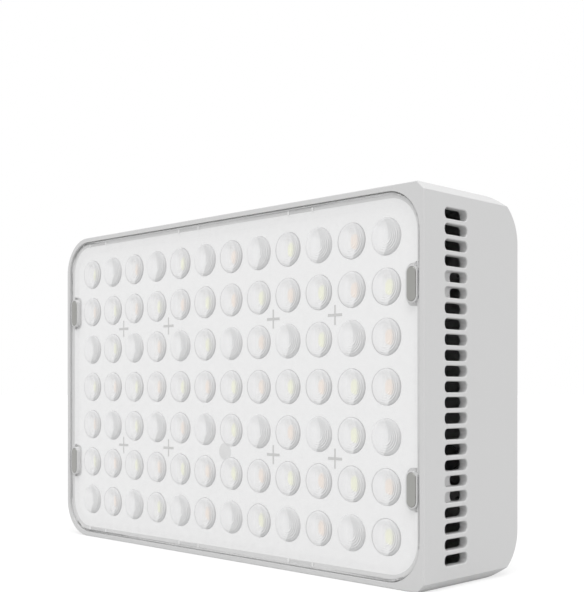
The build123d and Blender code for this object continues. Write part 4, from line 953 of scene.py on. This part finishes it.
class PANELLIGHT_OT_stage(bpy.types.Operator):
    """Plain pale floor, soft light and camera"""

    bl_idname = "panellight.stage"
    bl_label = "Build Stage"

    def execute(self, context):
        settings = context.scene.panellight_stage
        self.add_floor(context.scene, settings)
        self.add_world(context.scene, settings)
        self.add_key(context.scene, settings)
        self.add_camera(context.scene)
        context.scene.view_settings.view_transform = "Standard"
        return {"FINISHED"}

    def add_floor(self, scene, settings):
        """Floor with its own look in the picture and its own share of light on the object."""
        half, steps = settings.floor_size / 2, 8
        row = steps + 1
        levels = [-half + 2 * half * step / steps for step in range(row)]
        vertices = [(x, y, 0.0) for y in levels for x in levels]
        faces = [
            (j * row + i, j * row + i + 1, (j + 1) * row + i + 1, (j + 1) * row + i)
            for j in range(steps)
            for i in range(steps)
        ]
        mesh = bpy.data.meshes.new("studio_floor")
        mesh.from_pydata(vertices, [], faces)
        floor = bpy.data.objects.new("studio_floor", mesh)
        scene.collection.objects.link(floor)
        material, tree, shader = principled("studio_floor")
        tree.nodes.remove(shader)
        output = tree.nodes["Material Output"]
        # Seen by the camera, the floor is white but for the object's shadow
        lit = tree.nodes.new("ShaderNodeBsdfDiffuse")
        lit.inputs["Color"].default_value = (*[settings.floor] * 3, 1)
        seen = tree.nodes.new("ShaderNodeBsdfDiffuse")
        seen.inputs["Color"].default_value = (*[settings.floor_seen] * 3, 1)
        glow = tree.nodes.new("ShaderNodeEmission")
        glow.inputs["Strength"].default_value = 1.0 - settings.floor_seen
        both = tree.nodes.new("ShaderNodeAddShader")
        tree.links.new(seen.outputs[0], both.inputs[0])
        tree.links.new(glow.outputs[0], both.inputs[1])
        choice = tree.nodes.new("ShaderNodeMixShader")
        tree.links.new(self.seen_ray(tree), choice.inputs[0])
        tree.links.new(lit.outputs[0], choice.inputs[1])
        tree.links.new(both.outputs[0], choice.inputs[2])
        tree.links.new(choice.outputs[0], output.inputs["Surface"])
        mesh.materials.append(material)

    def seen_ray(self, tree):
        """1 for a ray from the camera, off gloss or through glass."""
        path = tree.nodes.new("ShaderNodeLightPath")
        direct = math_node(tree, "MAXIMUM", path.outputs["Is Camera Ray"], path.outputs["Is Glossy Ray"])
        return math_node(tree, "MAXIMUM", direct, path.outputs["Is Transmission Ray"])

    def add_world(self, scene, settings):
        """White surroundings; the world's strength only sets how much they light the object."""
        world = bpy.data.worlds.new("studio_world")
        scene.world = world
        world.use_nodes = True
        tree = world.node_tree
        light = tree.nodes["Background"]
        light.inputs["Color"].default_value = (1, 1, 1, 1)
        strength = math_node(tree, "MULTIPLY_ADD", self.seen_ray(tree), 1.0 - settings.world, settings.world)
        tree.links.new(strength, light.inputs["Strength"])

    def add_key(self, scene, settings):
        """Broad soft key light from above the lit face."""
        lamp = bpy.data.lights.new("key_light", "SUN")
        lamp.energy = settings.key
        lamp.angle = settings.key_size
        key = bpy.data.objects.new("key_light", lamp)
        scene.collection.objects.link(key)
        turn, height = settings.key_turn, settings.key_height
        flat = math.cos(height)
        towards = Vector((math.sin(turn) * flat, -math.cos(turn) * flat, math.sin(height)))
        key.location = towards * KEY_DISTANCE
        key.rotation_euler = towards.to_track_quat("Z", "Y").to_euler()

    def add_camera(self, scene):
        """Level camera at mid height, in front of the lit face and beyond the +X end."""
        data = bpy.data.cameras.new("camera")
        data.lens = CAMERA_LENS
        data.sensor_width = 36
        data.shift_y = CAMERA_SHIFT
        data.clip_start = 0.01
        camera = bpy.data.objects.new("camera", data)
        scene.collection.objects.link(camera)
        camera.location = CAMERA_PLACE
        backwards = Vector((math.sin(CAMERA_TURN), -math.cos(CAMERA_TURN), 0))
        camera.rotation_euler = backwards.to_track_quat("Z", "Y").to_euler()
        scene.camera = camera


# --- Panel and registration --------------------------------------------------------------------------

PIECES = (
    PANELLIGHT_OT_body,
    PANELLIGHT_OT_cover,
    PANELLIGHT_OT_magnets,
    PANELLIGHT_OT_tray,
    PANELLIGHT_OT_lenses,
    PANELLIGHT_OT_sources,
    PANELLIGHT_OT_controls,
    PANELLIGHT_OT_internals,
    PANELLIGHT_OT_stage,
)


class PANELLIGHT_PT_sidebar(bpy.types.Panel):
    """Steps that finish the panel light, with their settings"""

    bl_idname = "PANELLIGHT_PT_sidebar"
    bl_label = "Panel Light"
    bl_space_type = "VIEW_3D"
    bl_region_type = "UI"
    bl_category = "Panel Light"

    def draw(self, context):
        for operator in PIECES:
            self.layout.operator(operator.bl_idname)
        for name in GROUPS:
            box = self.layout.box()
            settings = getattr(context.scene, name)
            for label in settings.bl_rna.properties.keys():
                if label not in ("rna_type", "name"):
                    box.prop(settings, label)


GROUPS = {
    "panellight_finish": FinishSettings,
    "panellight_lens": LensSettings,
    "panellight_stage": StageSettings,
}
CLASSES = (*GROUPS.values(), *PIECES, PANELLIGHT_PT_sidebar)


def register():
    for item in CLASSES:
        bpy.utils.register_class(item)
    for name, group in GROUPS.items():
        setattr(bpy.types.Scene, name, PointerProperty(type=group))


def unregister():
    for name in GROUPS:
        delattr(bpy.types.Scene, name)
    for item in reversed(CLASSES):
        bpy.utils.unregister_class(item)


def main():
    register()
    make_grain_group()
    make_brushed_group()
    make_lens_group()
    for operator in PIECES:
        group, name = operator.bl_idname.split(".")
        getattr(getattr(bpy.ops, group), name)()


if __name__ == "__main__":
    main()
